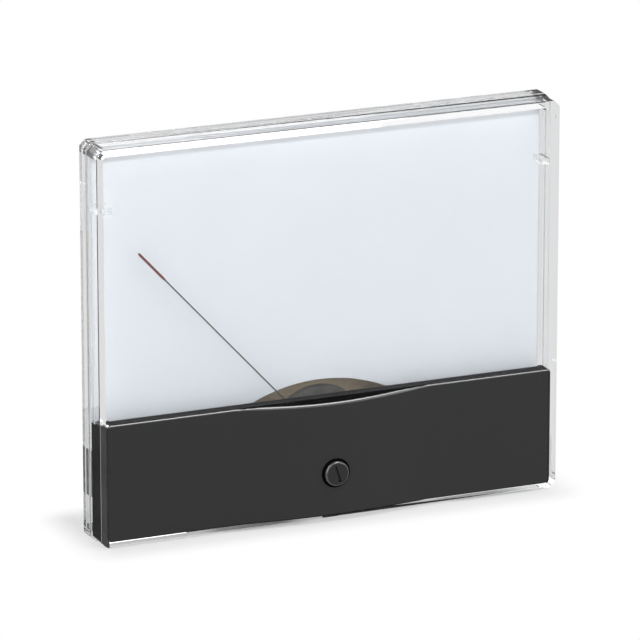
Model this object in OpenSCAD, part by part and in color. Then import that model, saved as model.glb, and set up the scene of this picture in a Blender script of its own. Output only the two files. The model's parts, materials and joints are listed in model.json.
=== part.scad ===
// Moving-coil panel meter: a clear box cover, a black lower mask, a blank
// dial and a core-magnet movement inside a round rear housing.
//
// The origin is where the barrel's axis meets the panel plane. +X is to the
// right seen from the front, +Y points back through the panel, +Z is up.
// Heights named *_h are measured from the cover's bottom edge.

/* [Cover] */
// Width of the clear cover
cover_w = 100; // [94:1:116]
// Height of the clear cover
cover_h = 82; // [79:1:96]
// Depth of the cover in front of the panel
cover_d = 9; // [9:0.25:11]
// Thickness of the cover's walls round the window
cover_wall = 2; // [1.8:0.1:2.6]
// Thickness of the window pane
pane_t = 1.8; // [1.2:0.1:2]
// Chamfer on the cover's four corners
cover_chamfer = 1.2; // [0.6:0.1:1.4]
// Depth of the rear rim, which stands out round the cover
rim_d = 3.6; // [2.4:0.1:4.2]
// How far the rear rim stands out
rim_step = 0.3; // [0.1:0.05:0.5]
// Radius of the window's inner corners
cavity_r = 0.8; // [0.4:0.1:1.4]
// Height of the barrel's axis above the cover's bottom edge
axis_h = 34; // [33.8:0.1:36]

/* [Side ribs] */
// Height of the two ribs on the cover's side walls
rib_h = 69; // [60:1:72]
// Thickness of a rib
rib_t = 1.2; // [0.8:0.1:1.6]
// How far a rib reaches in from the wall
rib_reach = 1.8; // [1:0.1:2.4]

/* [Lower mask] */
// Height of the mask's top edge
mask_top = 25.6; // [25.2:0.1:28]
// Clear wall beside the mask
mask_side = 1.8; // [1.4:0.1:1.8]
// Clear wall under the mask
mask_floor = 1.35; // [1.2:0.05:1.45]
// Wall thickness of the mask
mask_t = 1.5; // [1.2:0.1:1.6]
// Depth of the mask's side and bottom walls
mask_d = 5; // [4:0.1:5.3]
// Depth of the mask's top wall
ledge_d = 3.3; // [2.4:0.1:3.3]
// How far the mask's middle bulges forward
bulge_d = 2; // [2:0.1:3]
// Width of the bulge
bulge_w = 41.4; // [38:0.2:60]
// Drop of the bulge's top face towards the front
bulge_dip = 0.8; // [0.3:0.1:1.2]
// Corner radius of the mask's outline
mask_r = 0.7; // [0.4:0.1:1.6]
// Depth of the cut at the mask's upper rear corners
mask_cut_d = 1.2; // [0.6:0.1:1.6]
// Height of the cut at the mask's upper rear corners
mask_cut_h = 3.2; // [2:0.1:5]
// Width of a snap lug under the mask
lug_w = 1; // [0.8:0.1:1.4]
// Spacing of the two snap lugs
lug_spacing = 1.6; // [1.6:0.1:3]
// How far a snap lug reaches down
lug_h = 0.9; // [0.6:0.05:1]

/* [Zero adjuster] */
// Height of the zero adjuster's axis
adjuster_h = 10.25; // [10.1:0.05:10.4]
// Diameter of the zero adjuster's head
adjuster_d = 5.4; // [5:0.1:6]
// Thickness of the zero adjuster's head
adjuster_head_t = 1.8; // [1.4:0.05:2.2]
// Rounding of the zero adjuster's head
adjuster_round = 0.5; // [0.2:0.05:0.8]
// Depth of the mask's recess for the head
adjuster_sink = 0.5; // [0.3:0.05:0.7]
// Gap round the head in its recess
adjuster_gap = 0.35; // [0.2:0.05:0.5]
// Diameter of the zero adjuster's stem
adjuster_stem_d = 3.2; // [2.8:0.1:3.6]
// Offset of the zero adjuster's eccentric pin
pin_offset = 1.31; // [1.26:0.01:1.36]
// Diameter of the eccentric pin
pin_d = 0.8; // [0.6:0.05:0.9]
// Width of the screwdriver slot
slot_w = 0.6; // [0.4:0.05:0.8]
// Depth of the screwdriver slot
slot_depth = 0.6; // [0.4:0.05:0.9]
// Turn of the slot from upright
slot_turn = 18; // [0:1:90]

/* [Dial and pointer] */
// Thickness of the dial plate
dial_t = 0.5; // [0.4:0.05:0.8]
// Distance of the dial's face in front of the panel
dial_front = 3.3; // [3.1:0.05:3.4]
// Gap between the dial's edge and the cover
dial_gap = 0.6; // [0.4:0.1:1]
// Height of the dial's bottom edge
dial_foot_h = 5; // [4:0.5:7]
// Height of the top of the dial's cut-out
arch_h = 27.5; // [27:0.1:29]
// Radius of the top of the dial's cut-out
arch_r = 34.6; // [30:0.2:40]
// Width of the dial's cut-out
arch_w = 34; // [30:0.5:38]
// Height of the movement's axis
pivot_h = 15.5; // [15.4:0.05:15.8]
// Length of the pointer from the movement's axis
pointer_len = 59.4; // [50:0.1:60]
// Length of the pointer's broad tip
tip_len = 8.5; // [5:0.1:12]
// Width of the pointer's broad tip
tip_w = 0.5; // [0.4:0.05:0.8]
// Width of the pointer's shaft
shaft_w = 0.28; // [0.24:0.02:0.4]
// Thickness of the pointer
pointer_t = 0.3; // [0.2:0.05:0.35]
// Distance of the pointer's middle plane in front of the panel
pointer_front = 5.25; // [5.2:0.01:5.3]
// Full swing of the pointer over the scale, in degrees
scale_sweep = 85; // [80:1:90]
// Travel of the pointer past each end of the scale, in degrees
overswing = 3; // [2:0.5:4]

/* [Movement] */
// Outer diameter of the yoke ring
yoke_d = 22; // [21.4:0.1:22.4]
// Inner diameter of the yoke ring
yoke_bore = 15.6; // [15.3:0.1:15.8]
// Length of the yoke ring
yoke_len = 8.4; // [7:0.1:10]
// Diameter of the core magnet
core_d = 11.2; // [10:0.1:11.3]
// Gap between the core and the coil at the sides and the ends
coil_gap = 0.45; // [0.4:0.05:0.6]
// Thickness of the coil former's sheet
former_t = 0.25; // [0.2:0.05:0.3]
// Thickness of the coil's winding
winding_t = 0.75; // [0.5:0.05:0.8]
// Width of the coil
coil_w = 3; // [2.4:0.1:3.2]
// Width of the two spacers between core and yoke
spacer_w = 4; // [3:0.1:4.5]
// Thickness of the insulating movement plate
plate_t = 1.5; // [1:0.1:1.8]
// Distance of the movement plate's face in front of the panel
plate_front = 0.5; // [0.3:0.05:0.8]
// Diameter of the pillars of the front frame and the rear bridge
pillar_d = 2.7; // [2.4:0.05:2.8]
// Width of the bars that carry the jewel screws
bar_w = 4.4; // [3.6:0.1:4.6]
// Thickness of the bars that carry the jewel screws
bar_t = 1; // [0.9:0.05:1.1]
// Thickness of the front frame's base ring
base_ring_t = 1.5; // [1:0.1:1.6]
// Diameter of the movement screws
long_screw_d = 1.6; // [1.2:0.1:1.7]
// Diameter of the jewel screws
jewel_screw_d = 3; // [2.8:0.1:3.2]
// Diameter of the coil's staffs
staff_d = 1.6; // [1.3:0.05:1.7]
// Turns of each hairspring
spring_turns = 6; // [4:1:7]
// Outer radius of the hairsprings
spring_r = 4.2; // [3.8:0.05:4.3]
// Thickness of the hairspring strip
spring_t = 0.1; // [0.08:0.01:0.14]
// Height of the hairspring strip
spring_w = 0.35; // [0.25:0.05:0.4]
// Radius of the pointer stops round the movement's axis
stop_r = 11.9; // [11.7:0.05:12.4]
// Diameter of a pointer stop
stop_d = 0.9; // [0.7:0.05:1]

/* [Rear housing] */
// Diameter of the barrel
barrel_d = 64; // [63:0.2:64.6]
// Length of the barrel behind the panel
barrel_len = 24; // [22:0.5:34]
// Wall thickness of the barrel
barrel_wall = 2; // [1.6:0.1:2.1]
// Thickness of the barrel's rear wall
rear_wall = 2.4; // [2:0.1:3]
// Thickness of the base frame
flange_t = 2; // [1.6:0.1:2.2]
// Gap between the base frame and the cover
flange_gap = 0.9; // [0.5:0.1:1.4]
// Distance of the mounting studs from the cover's sides
stud_side = 8.5; // [7.6:0.1:9.5]
// Distance of the mounting studs from the cover's top and bottom
stud_edge = 8.5; // [7.6:0.1:9]
// Diameter of the mounting studs
stud_d = 3; // [2.5:0.5:4]
// Wall of the barrel's spigot inside the base frame
spigot_wall = 0.8; // [0.6:0.1:0.9]
// Length of the mounting studs behind the panel
stud_len = 12; // [8:0.5:20]
// Spacing of the two terminals
terminal_spacing = 28; // [24:0.5:34]
// Height of the terminals above the barrel's axis
terminal_z = 12; // [8:0.5:14]
// Diameter of the terminal studs
terminal_d = 5; // [4:0.5:5]
// Diameter of the lead wires
lead_d = 1; // [0.8:0.1:1.2]

/* [Fits] */
// Running clearance round a turning shaft
run_gap = 0.05; // [0.03:0.01:0.08]
// Clearance between fixed pieces
fit_gap = 0.03; // [0.02:0.01:0.06]
// Gap between the base frame's tabs and the cover
tab_gap = 0.15; // [0.1:0.05:0.3]

/* [Hidden] */
$fn = 48;
cut = 1;                                     // overshoot of a cutting tool
tiny = 0.01;                                 // overlap that joins two shapes of one piece

// Cover
cover_low = -axis_h;                         // z of the cover's bottom edge
cover_top = cover_h - axis_h;
cover_mid = (cover_top + cover_low) / 2;
pane_back = pane_t - cover_d;                // y of the pane's inner face
cavity_x = cover_w / 2 - cover_wall;
cavity_top = cover_top - cover_wall;

// Mask
mask_x = cover_w / 2 - mask_side;
mask_low = cover_low + mask_floor;
mask_high = cover_low + mask_top;
mask_back = mask_d - cover_d;
bulge_steps = 36;
bulge_face = -cover_d - bulge_d;             // y of the bulge's crown
lug_front = 1 - cover_d;                     // front face of a snap lug's notch
lug_len = mask_d - 2;

// Dial
dial_y = -dial_front;
dial_back = dial_t - dial_front;
dial_x = cavity_x - dial_gap;
dial_top = cavity_top - dial_gap;
dial_low = cover_low + dial_foot_h;
dial_screw_x = 33;
dial_screw_h = 12;
dial_screw_r = 1;
dial_screw_head_r = 1.9;
dial_screw_head_t = 1.1;
dial_screw_end = 1.2 - flange_t;             // y of the dial screws' tips
dial_hole_end = dial_screw_end + 0.2;
dial_pad_r = 2.4;
dial_pad_drop = 8;                           // from the cover's top to the upper pads

// Movement, along Y from front to back
axis_z = pivot_h - axis_h;                   // z of the movement's axis
plate_y = -plate_front;
yoke_y = plate_y + plate_t;                  // front face of the yoke ring
yoke_end = yoke_y + yoke_len;
core_inset = 0.45;                           // the core stands proud of the yoke in front
core_y = yoke_y - core_inset;
core_end = yoke_end - core_inset;
core_chamfer = 0.3;
former_in_x = core_d / 2 + coil_gap;
former_out_x = former_in_x + former_t;
coil_x = former_out_x + winding_t;
coil_front = core_y - coil_gap - former_t - winding_t;
coil_end = core_end + coil_gap + former_t + winding_t;
pillar_x = yoke_bore / 2 + fit_gap + pillar_d / 2;
base_ring_y = plate_y - base_ring_t;
base_ring_r = yoke_d / 2 - 0.4;
bar_room = 1;                                // from the mask's front plane to the front bar
bar_y = bar_room - cover_d;                  // front face of the front bar
bar_back = bar_y + bar_t;
bridge_room = 3.5;                           // from the coil to the rear bar
bridge_y = coil_end + bridge_room;           // front face of the rear bar
bridge_end = bridge_y + 1.2 * bar_t;
long_head_t = 0.7;                           // head of a movement screw
long_tip = 0.4;                              // how far its tip stands out behind
pointer_y = -pointer_front;
pointer_face = pointer_y - pointer_t / 2;

// Jewel screws, springs and lever
collar_t = 0.25;                             // collar that holds the lever on its screw
neck_r = 1.2;
lever_rim = 1.2;
fork_wall = 0.6;
fork_past = 1;                               // how far the fork reaches past the pin
fork_depth = 2.2;
lever_y = bar_back + 0.1;
lever_t = 0.35;
neck_end = bar_back + 0.5;
screw_back = neck_end + collar_t;            // rear end of the front jewel screw
lever_end = lever_y + lever_t;
jewel_r = 0.8;
jewel_t = 0.7;
cup_r = 0.35;
cup_depth = 0.45;
cup_floor_r = 0.05;
collet_r = 1;
collet_lip = 0.05;                           // how far a collet stands out past its spring
spring_room = 0.25;                          // from the front spring to the pointer
front_spring_y = pointer_face - spring_room - spring_w;
shoulder_gap = 0.15;                         // from a staff's shoulder to its jewel screw
front_staff_end = screw_back + shoulder_gap;
rear_screw_y = bridge_y - 0.8;               // front end of the rear jewel screw
rear_staff_end = rear_screw_y - shoulder_gap;
rear_spring_y = rear_staff_end - 0.65 - spring_w;
staff_foot_r = coil_w / 2 - 0.1;
staff_foot_t = 0.25;
staff_chamfer = 0.1;
pivot_r = 0.22;
pivot_len = 0.25;                            // straight part of a pivot, and its cone
nut_t = 0.8;
nut_af = jewel_screw_d + 1;
front_screw_out = 0.4;                       // how far each screw stands out of its nut
rear_screw_out = 0.8;
jewel_slot_w = 0.5;
jewel_slot_depth = 0.6;
tab_r = spring_r + 0.05;                     // where a hairspring's outer end is fixed
tab_t = 0.6;
tab_angle = 140;
post_r = 0.35;
arm_half = 1;                                // half the width of the rear spring's arm

// Pointer positions at rest
rest_turn = scale_sweep / 2;                 // pointer's lean to the left of upright
arm_w = 0.6;
weight_start = 5.3;
tail_weight_len = 1.5;
tail_weight_r = 0.95;
side_weight_len = 1;
side_weight_r = 0.6;
arm_len = weight_start + tail_weight_len;
hub_r = 1.8;
stop_past = 0.5;                             // how far a stop reaches past the pointer
stop_angle = rest_turn + overswing + asin((stop_d / 2 + shaft_w / 2 + run_gap) / stop_r);

// Adjuster
adjuster_z = adjuster_h - axis_h;
head_back = bulge_face + adjuster_sink - run_gap;
mask_inner = bulge_face + mask_t;
snap_t = 0.5;
snap_r = adjuster_stem_d / 2 + 0.5;
slot_len = adjuster_d * 0.7;
pin_end = lever_end + 0.15;
fork_r = pivot_h - adjuster_h + pin_offset;  // pin's radius round the movement's axis

// Housing
barrel_r = barrel_d / 2;
barrel_chamfer = 1;
bore_r = barrel_r - barrel_wall;
spigot_r = bore_r + spigot_wall;
rear_in = barrel_len - rear_wall;
flange_x = cavity_x - flange_gap;
flange_top = cavity_top - flange_gap;
flange_low = mask_low + flange_gap;
tab_near = 22;                               // the frame's tabs, from the cover's middle
tab_far_side = 32;
tab_far_top = 39;
stud_x = cover_w / 2 - stud_side;
stud_z = cover_h / 2 - stud_edge;
stud_head_r = stud_d / 2 + 1.2;
stud_head_t = 0.8;
stud_neck_r = stud_d / 2 + 0.3;              // thicker neck inside the frame
stud_chamfer = 0.4;
boss_r = 2.8;
boss_inset = 4.4;                            // from the bore to a boss's middle
boss_ring = bore_r - boss_inset;
boss_angles = [-20, -48, -132, -160];
plate_screw_r = 1.25;
plate_screw_len = 6;
plate_screw_head_r = 2.3;
plate_screw_head_t = 1.3;
plate_side = 3;                              // from the bore to the plate's straight sides
plate_x = bore_r - plate_side;
plate_top_z = -4;
plate_r = bore_r - 0.4;
terminal_x = terminal_spacing / 2;
pad_rim = 3.6;
pad_r = terminal_d / 2 + pad_rim;
pad_t = 1;
terminal_start = barrel_len + pad_t;
washer_t = 1;
nut_m_t = 3.5;
lug_t = 0.8;
lock_t = 1.2;
lock_split = 0.7;                            // gap of a split lock washer
free_len = 4;
washer_r = terminal_d / 2 + 2.5;
lock_r = terminal_d / 2 + 1.8;
terminal_chamfer = 0.5;
nut_corner_r = 0.7;                          // past the flats, where a nut's corners are turned off
nut_chamfer = 0.5;
lug_ring_r = terminal_d / 2 + 2;
lug_tail_len = 7;                            // from the stud's side to a solder lug's end
lug_reach = terminal_d / 2 + lug_tail_len;
lug_tail_r = 1.5;
lug_eye_r = 0.7;
lug_lean = 40;
nut1_y = terminal_start + washer_t;
lug_y = nut1_y + nut_m_t;
lock_y = lug_y + lug_t;
nut2_y = lock_y + lock_t;
terminal_end = terminal_start + washer_t + 2 * nut_m_t + lug_t + lock_t + free_len;
head_rim = 1.5;
head_af = terminal_d + 2 * head_rim;
head_t = 2.5;

// Lead wires
lead_sides = 8;
lead_steps = 16;
ear_x = 13;
ear_rise = 3;
ear_z = axis_z + ear_rise;
ear_r = 1.7;
ear_t = 0.6;
lead_ear_y = plate_y - ear_t - 0.3;
lead_hole_r = lead_d / 2 + 0.1;
head_face = rear_in - head_t;
lead_end_y = head_face - lead_d / 2 - 0.05;  // both leads end on a terminal's head
lead_bridge_x = 4.5;
lead_bridge_y = bridge_end + lead_d / 2 + 0.1;
lead_rise = 12;                              // how far the leads' curves reach up and down
lead_bow = 4;

// ---------------------------------------------------------------- helpers

// Turns a shape drawn in XZ, extruded along +Y from y0 to y1
module slab(y0, y1) {
    translate([0, y1, 0])
        rotate([90, 0, 0])
            linear_extrude(y1 - y0)
                children();
}

// A round bar along Y
module rod(r, y0, y1) {
    translate([0, y0, 0])
        rotate([-90, 0, 0])
            cylinder(h = y1 - y0, r = r);
}

// A ring along Y
module ring(r_out, r_in, y0, y1) {
    difference() {
        rod(r_out, y0, y1);
        rod(r_in, y0 - cut, y1 + cut);
    }
}

// A turned shape: the profile holds [radius, y] points
module turned(profile) {
    rotate([-90, 0, 0])
        rotate_extrude()
            polygon(profile);
}

// A hexagon prism along Y
module hex_bar(across_flats, y0, y1) {
    translate([0, y0, 0])
        rotate([-90, 0, 0])
            cylinder(h = y1 - y0, r = across_flats / 2 / cos(30), $fn = 6);
}

// A rectangle with rounded corners, from corner to corner
module round_box(x0, z0, x1, z1, r) {
    translate([x0 + r, z0])
        square([x1 - x0 - 2 * r, z1 - z0]);
    translate([x0, z0 + r])
        square([x1 - x0, z1 - z0 - 2 * r]);
    for (x = [x0 + r, x1 - r], z = [z0 + r, z1 - r])
        translate([x, z])
            circle(r);
}

// A rectangle with chamfered corners
module cut_box(x0, z0, x1, z1, c) {
    polygon([
        [x0 + c, z0], [x1 - c, z0], [x1, z0 + c], [x1, z1 - c],
        [x1 - c, z1], [x0 + c, z1], [x0, z1 - c], [x0, z0 + c]
    ]);
}

// Moves a shape onto the movement's axis
module at_axis() {
    translate([0, 0, axis_z])
        children();
}

// Places a shape at both terminals
module at_terminals() {
    for (side = [-1, 1])
        translate([side * terminal_x, 0, terminal_z])
            children();
}

// ------------------------------------------------------------------ cover

// Outer form of the cover: a rear rim and a slightly smaller front
module cover_shell() {
    slab(-rim_d, 0)
        cut_box(-cover_w / 2, cover_low, cover_w / 2, cover_top, cover_chamfer);
    slab(-cover_d, tiny - rim_d)
        cut_box(rim_step - cover_w / 2, cover_low + rim_step,
            cover_w / 2 - rim_step, cover_top - rim_step, cover_chamfer);
}

// Room for a snap lug in the cover's bottom wall
module lug_notch(side) {
    translate([side * lug_spacing / 2 - lug_w / 2 - tab_gap, lug_front, mask_low - lug_h - tab_gap])
        cube([lug_w + 2 * tab_gap, lug_len, lug_h + tab_gap + tiny]);
}

module front_cover() {
    color([0.93, 0.95, 0.96, 0.35]) {
        difference() {
            cover_shell();
            slab(pane_back, cut)
                round_box(-cavity_x, mask_high - cut, cavity_x, cavity_top, cavity_r);
            slab(-cover_d - cut, cut)
                round_box(-mask_x, mask_low, mask_x, mask_high, mask_r);
            slab(mask_back, cut)
                translate([-mask_x, mask_high - 2 * mask_r])
                    square([2 * mask_x, 2 * mask_r]);
            for (side = [-1, 1])
                lug_notch(side);
        }
        for (side = [-1, 1])
            cover_rib(side);
    }
}

// A rib that keeps the dial from lifting
module cover_rib(side) {
    rib_end = dial_y - tab_gap;
    translate([side > 0 ? cavity_x - rib_reach : -cavity_x - tiny, pane_back - tiny,
            cover_low + rib_h - rib_t / 2])
        cube([rib_reach + tiny, rib_end - pane_back + tiny, rib_t]);
}

// ------------------------------------------------------------------- mask

// How far the mask's face bulges forward at a distance x from its middle
function bulge(x) = abs(x) < bulge_w / 2 ? bulge_d * cos(90 * x / (bulge_w / 2)) : 0;

// Points along the face from left to right, moved back by the wall thickness t
function face_line(t) = [
    for (i = [0 : bulge_steps])
        let (x = bulge_w * (i / bulge_steps - 0.5))
            [x, -cover_d - bulge(x) + t]
];

// Plan of the mask, moved inwards by t and open to the back by back_y
module mask_plan(t, back_y) {
    polygon(concat(
        [[-mask_x + t, -cover_d + t]],
        face_line(t),
        [[mask_x - t, -cover_d + t], [mask_x - t, back_y], [-mask_x + t, back_y]]
    ));
}

// Takes the bulge's top down towards the front
module bulge_top_cut() {
    slope = bulge_dip / bulge_d;
    reach = bulge_d + cut;
    translate([-bulge_w / 2 - cut, 0, 0])
        rotate([90, 0, 90])
            linear_extrude(bulge_w + 2 * cut)
                polygon([
                    [-cover_d, mask_high], [-cover_d, mask_high + cut],
                    [-cover_d - reach, mask_high + cut], [-cover_d - reach, mask_high - slope * reach]
                ]);
}

// Takes off the upper rear corner of both side walls
module mask_corner_cut() {
    translate([-mask_x - cut, 0, 0])
        rotate([90, 0, 90])
            linear_extrude(2 * mask_x + 2 * cut)
                polygon([
                    [mask_back - mask_cut_d, mask_high + cut],
                    [mask_back - mask_cut_d, mask_high - mask_cut_d / 2],
                    [mask_back - mask_cut_d / 3, mask_high - mask_cut_h / 2],
                    [mask_back, mask_high - mask_cut_h],
                    [mask_back + cut, mask_high - mask_cut_h],
                    [mask_back + cut, mask_high + cut]
                ]);
}

module lower_mask() {
    color([0.22, 0.22, 0.225]) {
        difference() {
            intersection() {
                translate([0, 0, mask_low])
                    linear_extrude(mask_high - mask_low)
                        mask_plan(0, mask_back);
                slab(bulge_face - cut, cut)
                    round_box(-mask_x, mask_low, mask_x, mask_high, mask_r);
            }
            translate([0, 0, mask_low + mask_t])
                linear_extrude(mask_high - mask_low - 2 * mask_t)
                    mask_plan(mask_t, cut);
            translate([-mask_x + mask_t, ledge_d - cover_d, mask_high - mask_t - tiny])
                cube([2 * (mask_x - mask_t), mask_d, mask_t + cut]);
            bulge_top_cut();
            mask_corner_cut();
            translate([0, 0, adjuster_z]) {
                rod(adjuster_stem_d / 2 + run_gap, bulge_face - cut, mask_inner + cut);
                rod(adjuster_d / 2 + adjuster_gap, bulge_face - cut, bulge_face + adjuster_sink);
            }
        }
        for (side = [-1, 1])
            translate([side * lug_spacing / 2 - lug_w / 2, lug_front + tab_gap, mask_low - lug_h])
                cube([lug_w, lug_len - 2 * tab_gap, lug_h + mask_t]);
    }
}

// --------------------------------------------------------- zero adjustment

module zero_adjuster() {
    head_r = adjuster_d / 2;
    head_face = head_back - adjuster_head_t;
    color([0.1, 0.1, 0.105])
        translate([0, 0, adjuster_z]) {
            difference() {
                turned(concat(
                    [[0, head_back], [head_r, head_back]],
                    [for (a = [0 : 15 : 90])
                        [head_r - adjuster_round * (1 - cos(a)), head_face + adjuster_round * (1 - sin(a))]],
                    [[0, head_face]]
                ));
                rotate([0, -slot_turn, 0])
                    translate([-slot_w / 2, head_face - cut, -slot_len / 2])
                        cube([slot_w, slot_depth + cut, slot_len]);
            }
            rod(adjuster_stem_d / 2, head_back - tiny, mask_inner + run_gap + tiny);
            rod(snap_r, mask_inner + run_gap, mask_inner + run_gap + snap_t);
            translate([0, 0, -pin_offset])
                rod(pin_d / 2, mask_inner + run_gap, pin_end);
        }
}

// The lever that carries the outer end of the front hairspring
module zero_lever() {
    slot_half = pin_d / 2 + 2 * run_gap;
    fork_half = slot_half + fork_wall;
    color([0.78, 0.66, 0.36])
        at_axis() {
            difference() {
                union() {
                    rod(neck_r + lever_rim, lever_y, lever_end);
                    translate([-fork_half, lever_y, -fork_r - fork_past])
                        cube([2 * fork_half, lever_t, fork_r]);
                    rotate([0, -tab_angle, 0])
                        translate([0, lever_y, -tab_t])
                            cube([tab_r + tab_t, lever_t, 2 * tab_t]);
                }
                rod(neck_r + run_gap, lever_y - cut, lever_end + cut);
                translate([-slot_half, lever_y - cut, -fork_r - fork_past - cut])
                    cube([2 * slot_half, lever_t + 2 * cut, cut + fork_depth]);
            }
            rotate([0, -tab_angle, 0])
                translate([tab_r, lever_end - tiny, -tab_t])
                    cube([tab_t, front_spring_y + spring_w - lever_end + tiny, 2 * tab_t]);
        }
}

// ------------------------------------------------------------------- dial

// Cut-out that lets the movement through the dial
module dial_arch() {
    intersection() {
        translate([-arch_w / 2, dial_low - cut])
            square([arch_w, cover_low + arch_h - dial_low + cut]);
        translate([0, cover_low + arch_h - arch_r])
            circle(arch_r, $fn = 96);
    }
    translate([-arch_w / 2, dial_low - cut])
        square([arch_w, axis_z - dial_low + cut]);
}

module dial_plate() {
    color([0.91, 0.93, 0.965])
        difference() {
            slab(dial_y, dial_back)
                difference() {
                    round_box(-dial_x, dial_low, dial_x, dial_top, cavity_r);
                    dial_arch();
                }
            for (side = [-1, 1])
                translate([side * dial_screw_x, 0, cover_low + dial_screw_h])
                    rod(dial_screw_r + fit_gap, dial_y - cut, dial_back + cut);
        }
}

module dial_screws() {
    color([0.75, 0.75, 0.73])
        for (side = [-1, 1])
            translate([side * dial_screw_x, 0, cover_low + dial_screw_h])
                slotted_screw(dial_screw_r, dial_screw_head_r, dial_screw_head_t, dial_y, dial_screw_end);
}

// A slotted pan-head screw: the head's underside is at y0, the tip at y1
module slotted_screw(r, head_r, head_h, y0, y1) {
    difference() {
        turned([
            [0, y0 - head_h], [head_r * 0.7, y0 - head_h], [head_r, y0 - head_h * 0.55],
            [head_r, y0], [r, y0], [r, y1], [0, y1]
        ]);
        translate([-head_r - cut, y0 - head_h - cut, -head_r / 7])
            cube([2 * head_r + 2 * cut, cut + head_h * 0.45, head_r / 3.5]);
    }
}

// ---------------------------------------------------------- moving element

// Moves a shape with the pointer to its place at rest
module with_pointer() {
    at_axis()
        rotate([0, -rest_turn, 0])
            children();
}

module pointer() {
    color([0.25, 0.25, 0.27])
        with_pointer()
            difference() {
                union() {
                    slab(pointer_face, pointer_face + pointer_t)
                        pointer_outline();
                    rod(hub_r, pointer_face, pointer_face + pointer_t);
                }
                rod(staff_d / 2 + fit_gap, pointer_face - cut, pointer_face + pointer_t + cut);
            }
}

// Outline of the pointer: shaft, broad tip, tail and two balance arms
module pointer_outline() {
    tip_start = pointer_len - tip_len;
    polygon([
        [-shaft_w, 0], [-shaft_w / 2, hub_r * 2], [-shaft_w / 2, tip_start],
        [-tip_w / 2, tip_start + tip_w], [-tip_w / 2, pointer_len - tip_w], [0, pointer_len],
        [tip_w / 2, pointer_len - tip_w], [tip_w / 2, tip_start + tip_w],
        [shaft_w / 2, tip_start], [shaft_w / 2, hub_r * 2], [shaft_w, 0]
    ]);
    translate([-arm_w / 2, -arm_len])
        square([arm_w, arm_len]);
    translate([-arm_len, -arm_w / 2])
        square([2 * arm_len, arm_w]);
}

// A weight on an arm that points along +X
module arm_weight(r, len) {
    translate([weight_start, pointer_y, 0])
        rotate([0, 90, 0])
            difference() {
                cylinder(h = len, r = r);
                translate([0, 0, -cut])
                    cylinder(h = len + 2 * cut, r = arm_w / 2 + 2 * fit_gap);
            }
}

module balance_weights() {
    color([0.72, 0.55, 0.3])
        with_pointer() {
            rotate([0, 90, 0])
                arm_weight(tail_weight_r, tail_weight_len);
            for (turn = [0, 180])
                rotate([0, turn, 0])
                    arm_weight(side_weight_r, side_weight_len);
        }
}

// A loop of the coil in plan, moved out by t from the inside of the former
module coil_loop(t) {
    translate([-former_in_x - t, core_y - coil_gap - t])
        square([2 * (former_in_x + t), core_end - core_y + 2 * coil_gap + 2 * t]);
}

// A loop between two sizes, of a given width along Z
module coil_band(t_in, t_out, z0, width) {
    translate([0, 0, z0])
        linear_extrude(width)
            difference() {
                coil_loop(t_out);
                coil_loop(t_in);
            }
}

module coil_former() {
    color([0.8, 0.81, 0.83])
        with_pointer() {
            coil_band(0, former_t, -coil_w / 2, coil_w);
            coil_band(0, former_t + winding_t, -coil_w / 2, former_t);
            coil_band(0, former_t + winding_t, coil_w / 2 - former_t, former_t);
        }
}

module coil_winding() {
    inner = former_t + fit_gap;
    half = coil_w / 2 - former_t - fit_gap;
    color([0.62, 0.3, 0.14])
        with_pointer()
            coil_band(inner, former_t + winding_t - fit_gap, -half, 2 * half);
}

// A staff with its foot on the coil, a collet and a pivot: drawn along +Y from the foot
module staff(len, collet_at) {
    collet_end = collet_at + spring_w + 2 * collet_lip;
    tip = len + 2 * pivot_len;
    turned([
        [0, 0], [staff_foot_r, 0], [staff_foot_r, staff_foot_t], [staff_d / 2, staff_foot_t],
        [staff_d / 2, collet_at - tiny], [collet_r, collet_at], [collet_r, collet_end],
        [staff_d / 2, collet_end + tiny], [staff_d / 2, len - staff_chamfer],
        [pivot_r, len], [pivot_r, len + pivot_len], [tiny, tip], [0, tip]
    ]);
}

module front_pivot() {
    len = coil_front - front_staff_end;
    color([0.6, 0.61, 0.63])
        at_axis()
            translate([0, coil_front, 0])
                rotate([0, 0, 180])
                    staff(len, coil_front - front_spring_y - spring_w - collet_lip);
}

module rear_pivot() {
    color([0.6, 0.61, 0.63])
        at_axis()
            translate([0, coil_end, 0])
                staff(rear_staff_end - coil_end, rear_spring_y - coil_end - collet_lip);
}

// A flat spiral strip that ends at its outer end at the angle end_turn
module hairspring(y0, end_turn) {
    steps = 20;
    count = spring_turns * steps;
    r_in = collet_r + 0.02;
    r_out = spring_r - spring_t;
    function spot(i, extra) =
        let (r = r_in + (r_out - r_in) * i / count + extra, a = end_turn + 360 * (i - count) / steps)
            [r * cos(a), r * sin(a)];
    slab(y0, y0 + spring_w)
        polygon(concat(
            [for (i = [0 : count]) spot(i, 0)],
            [for (i = [count : -1 : 0]) spot(i, spring_t)]
        ));
}

module front_hairspring() {
    color([0.8, 0.68, 0.42])
        at_axis()
            hairspring(front_spring_y, tab_angle);
}

module rear_hairspring() {
    color([0.8, 0.68, 0.42])
        at_axis()
            hairspring(rear_spring_y, 90);
}

// ------------------------------------------------------- magnet and frames

module core_magnet() {
    color([0.35, 0.35, 0.37])
        at_axis()
            turned([
                [0, core_y], [core_d / 2 - core_chamfer, core_y], [core_d / 2, core_y + core_chamfer],
                [core_d / 2, core_end - core_chamfer], [core_d / 2 - core_chamfer, core_end],
                [0, core_end]
            ]);
}

// Two strips that hold the core in the middle of the yoke ring
module core_spacers() {
    color([0.8, 0.68, 0.42])
        at_axis()
            for (side = [0, 180])
                rotate([0, side, 0])
                    intersection() {
                        ring(yoke_bore / 2 - fit_gap, core_d / 2 + fit_gap, yoke_y, core_end - core_chamfer);
                        translate([-spacer_w / 2, yoke_y - cut, 0])
                            cube([spacer_w, yoke_len + 2 * cut, yoke_d]);
                    }
}

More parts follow.
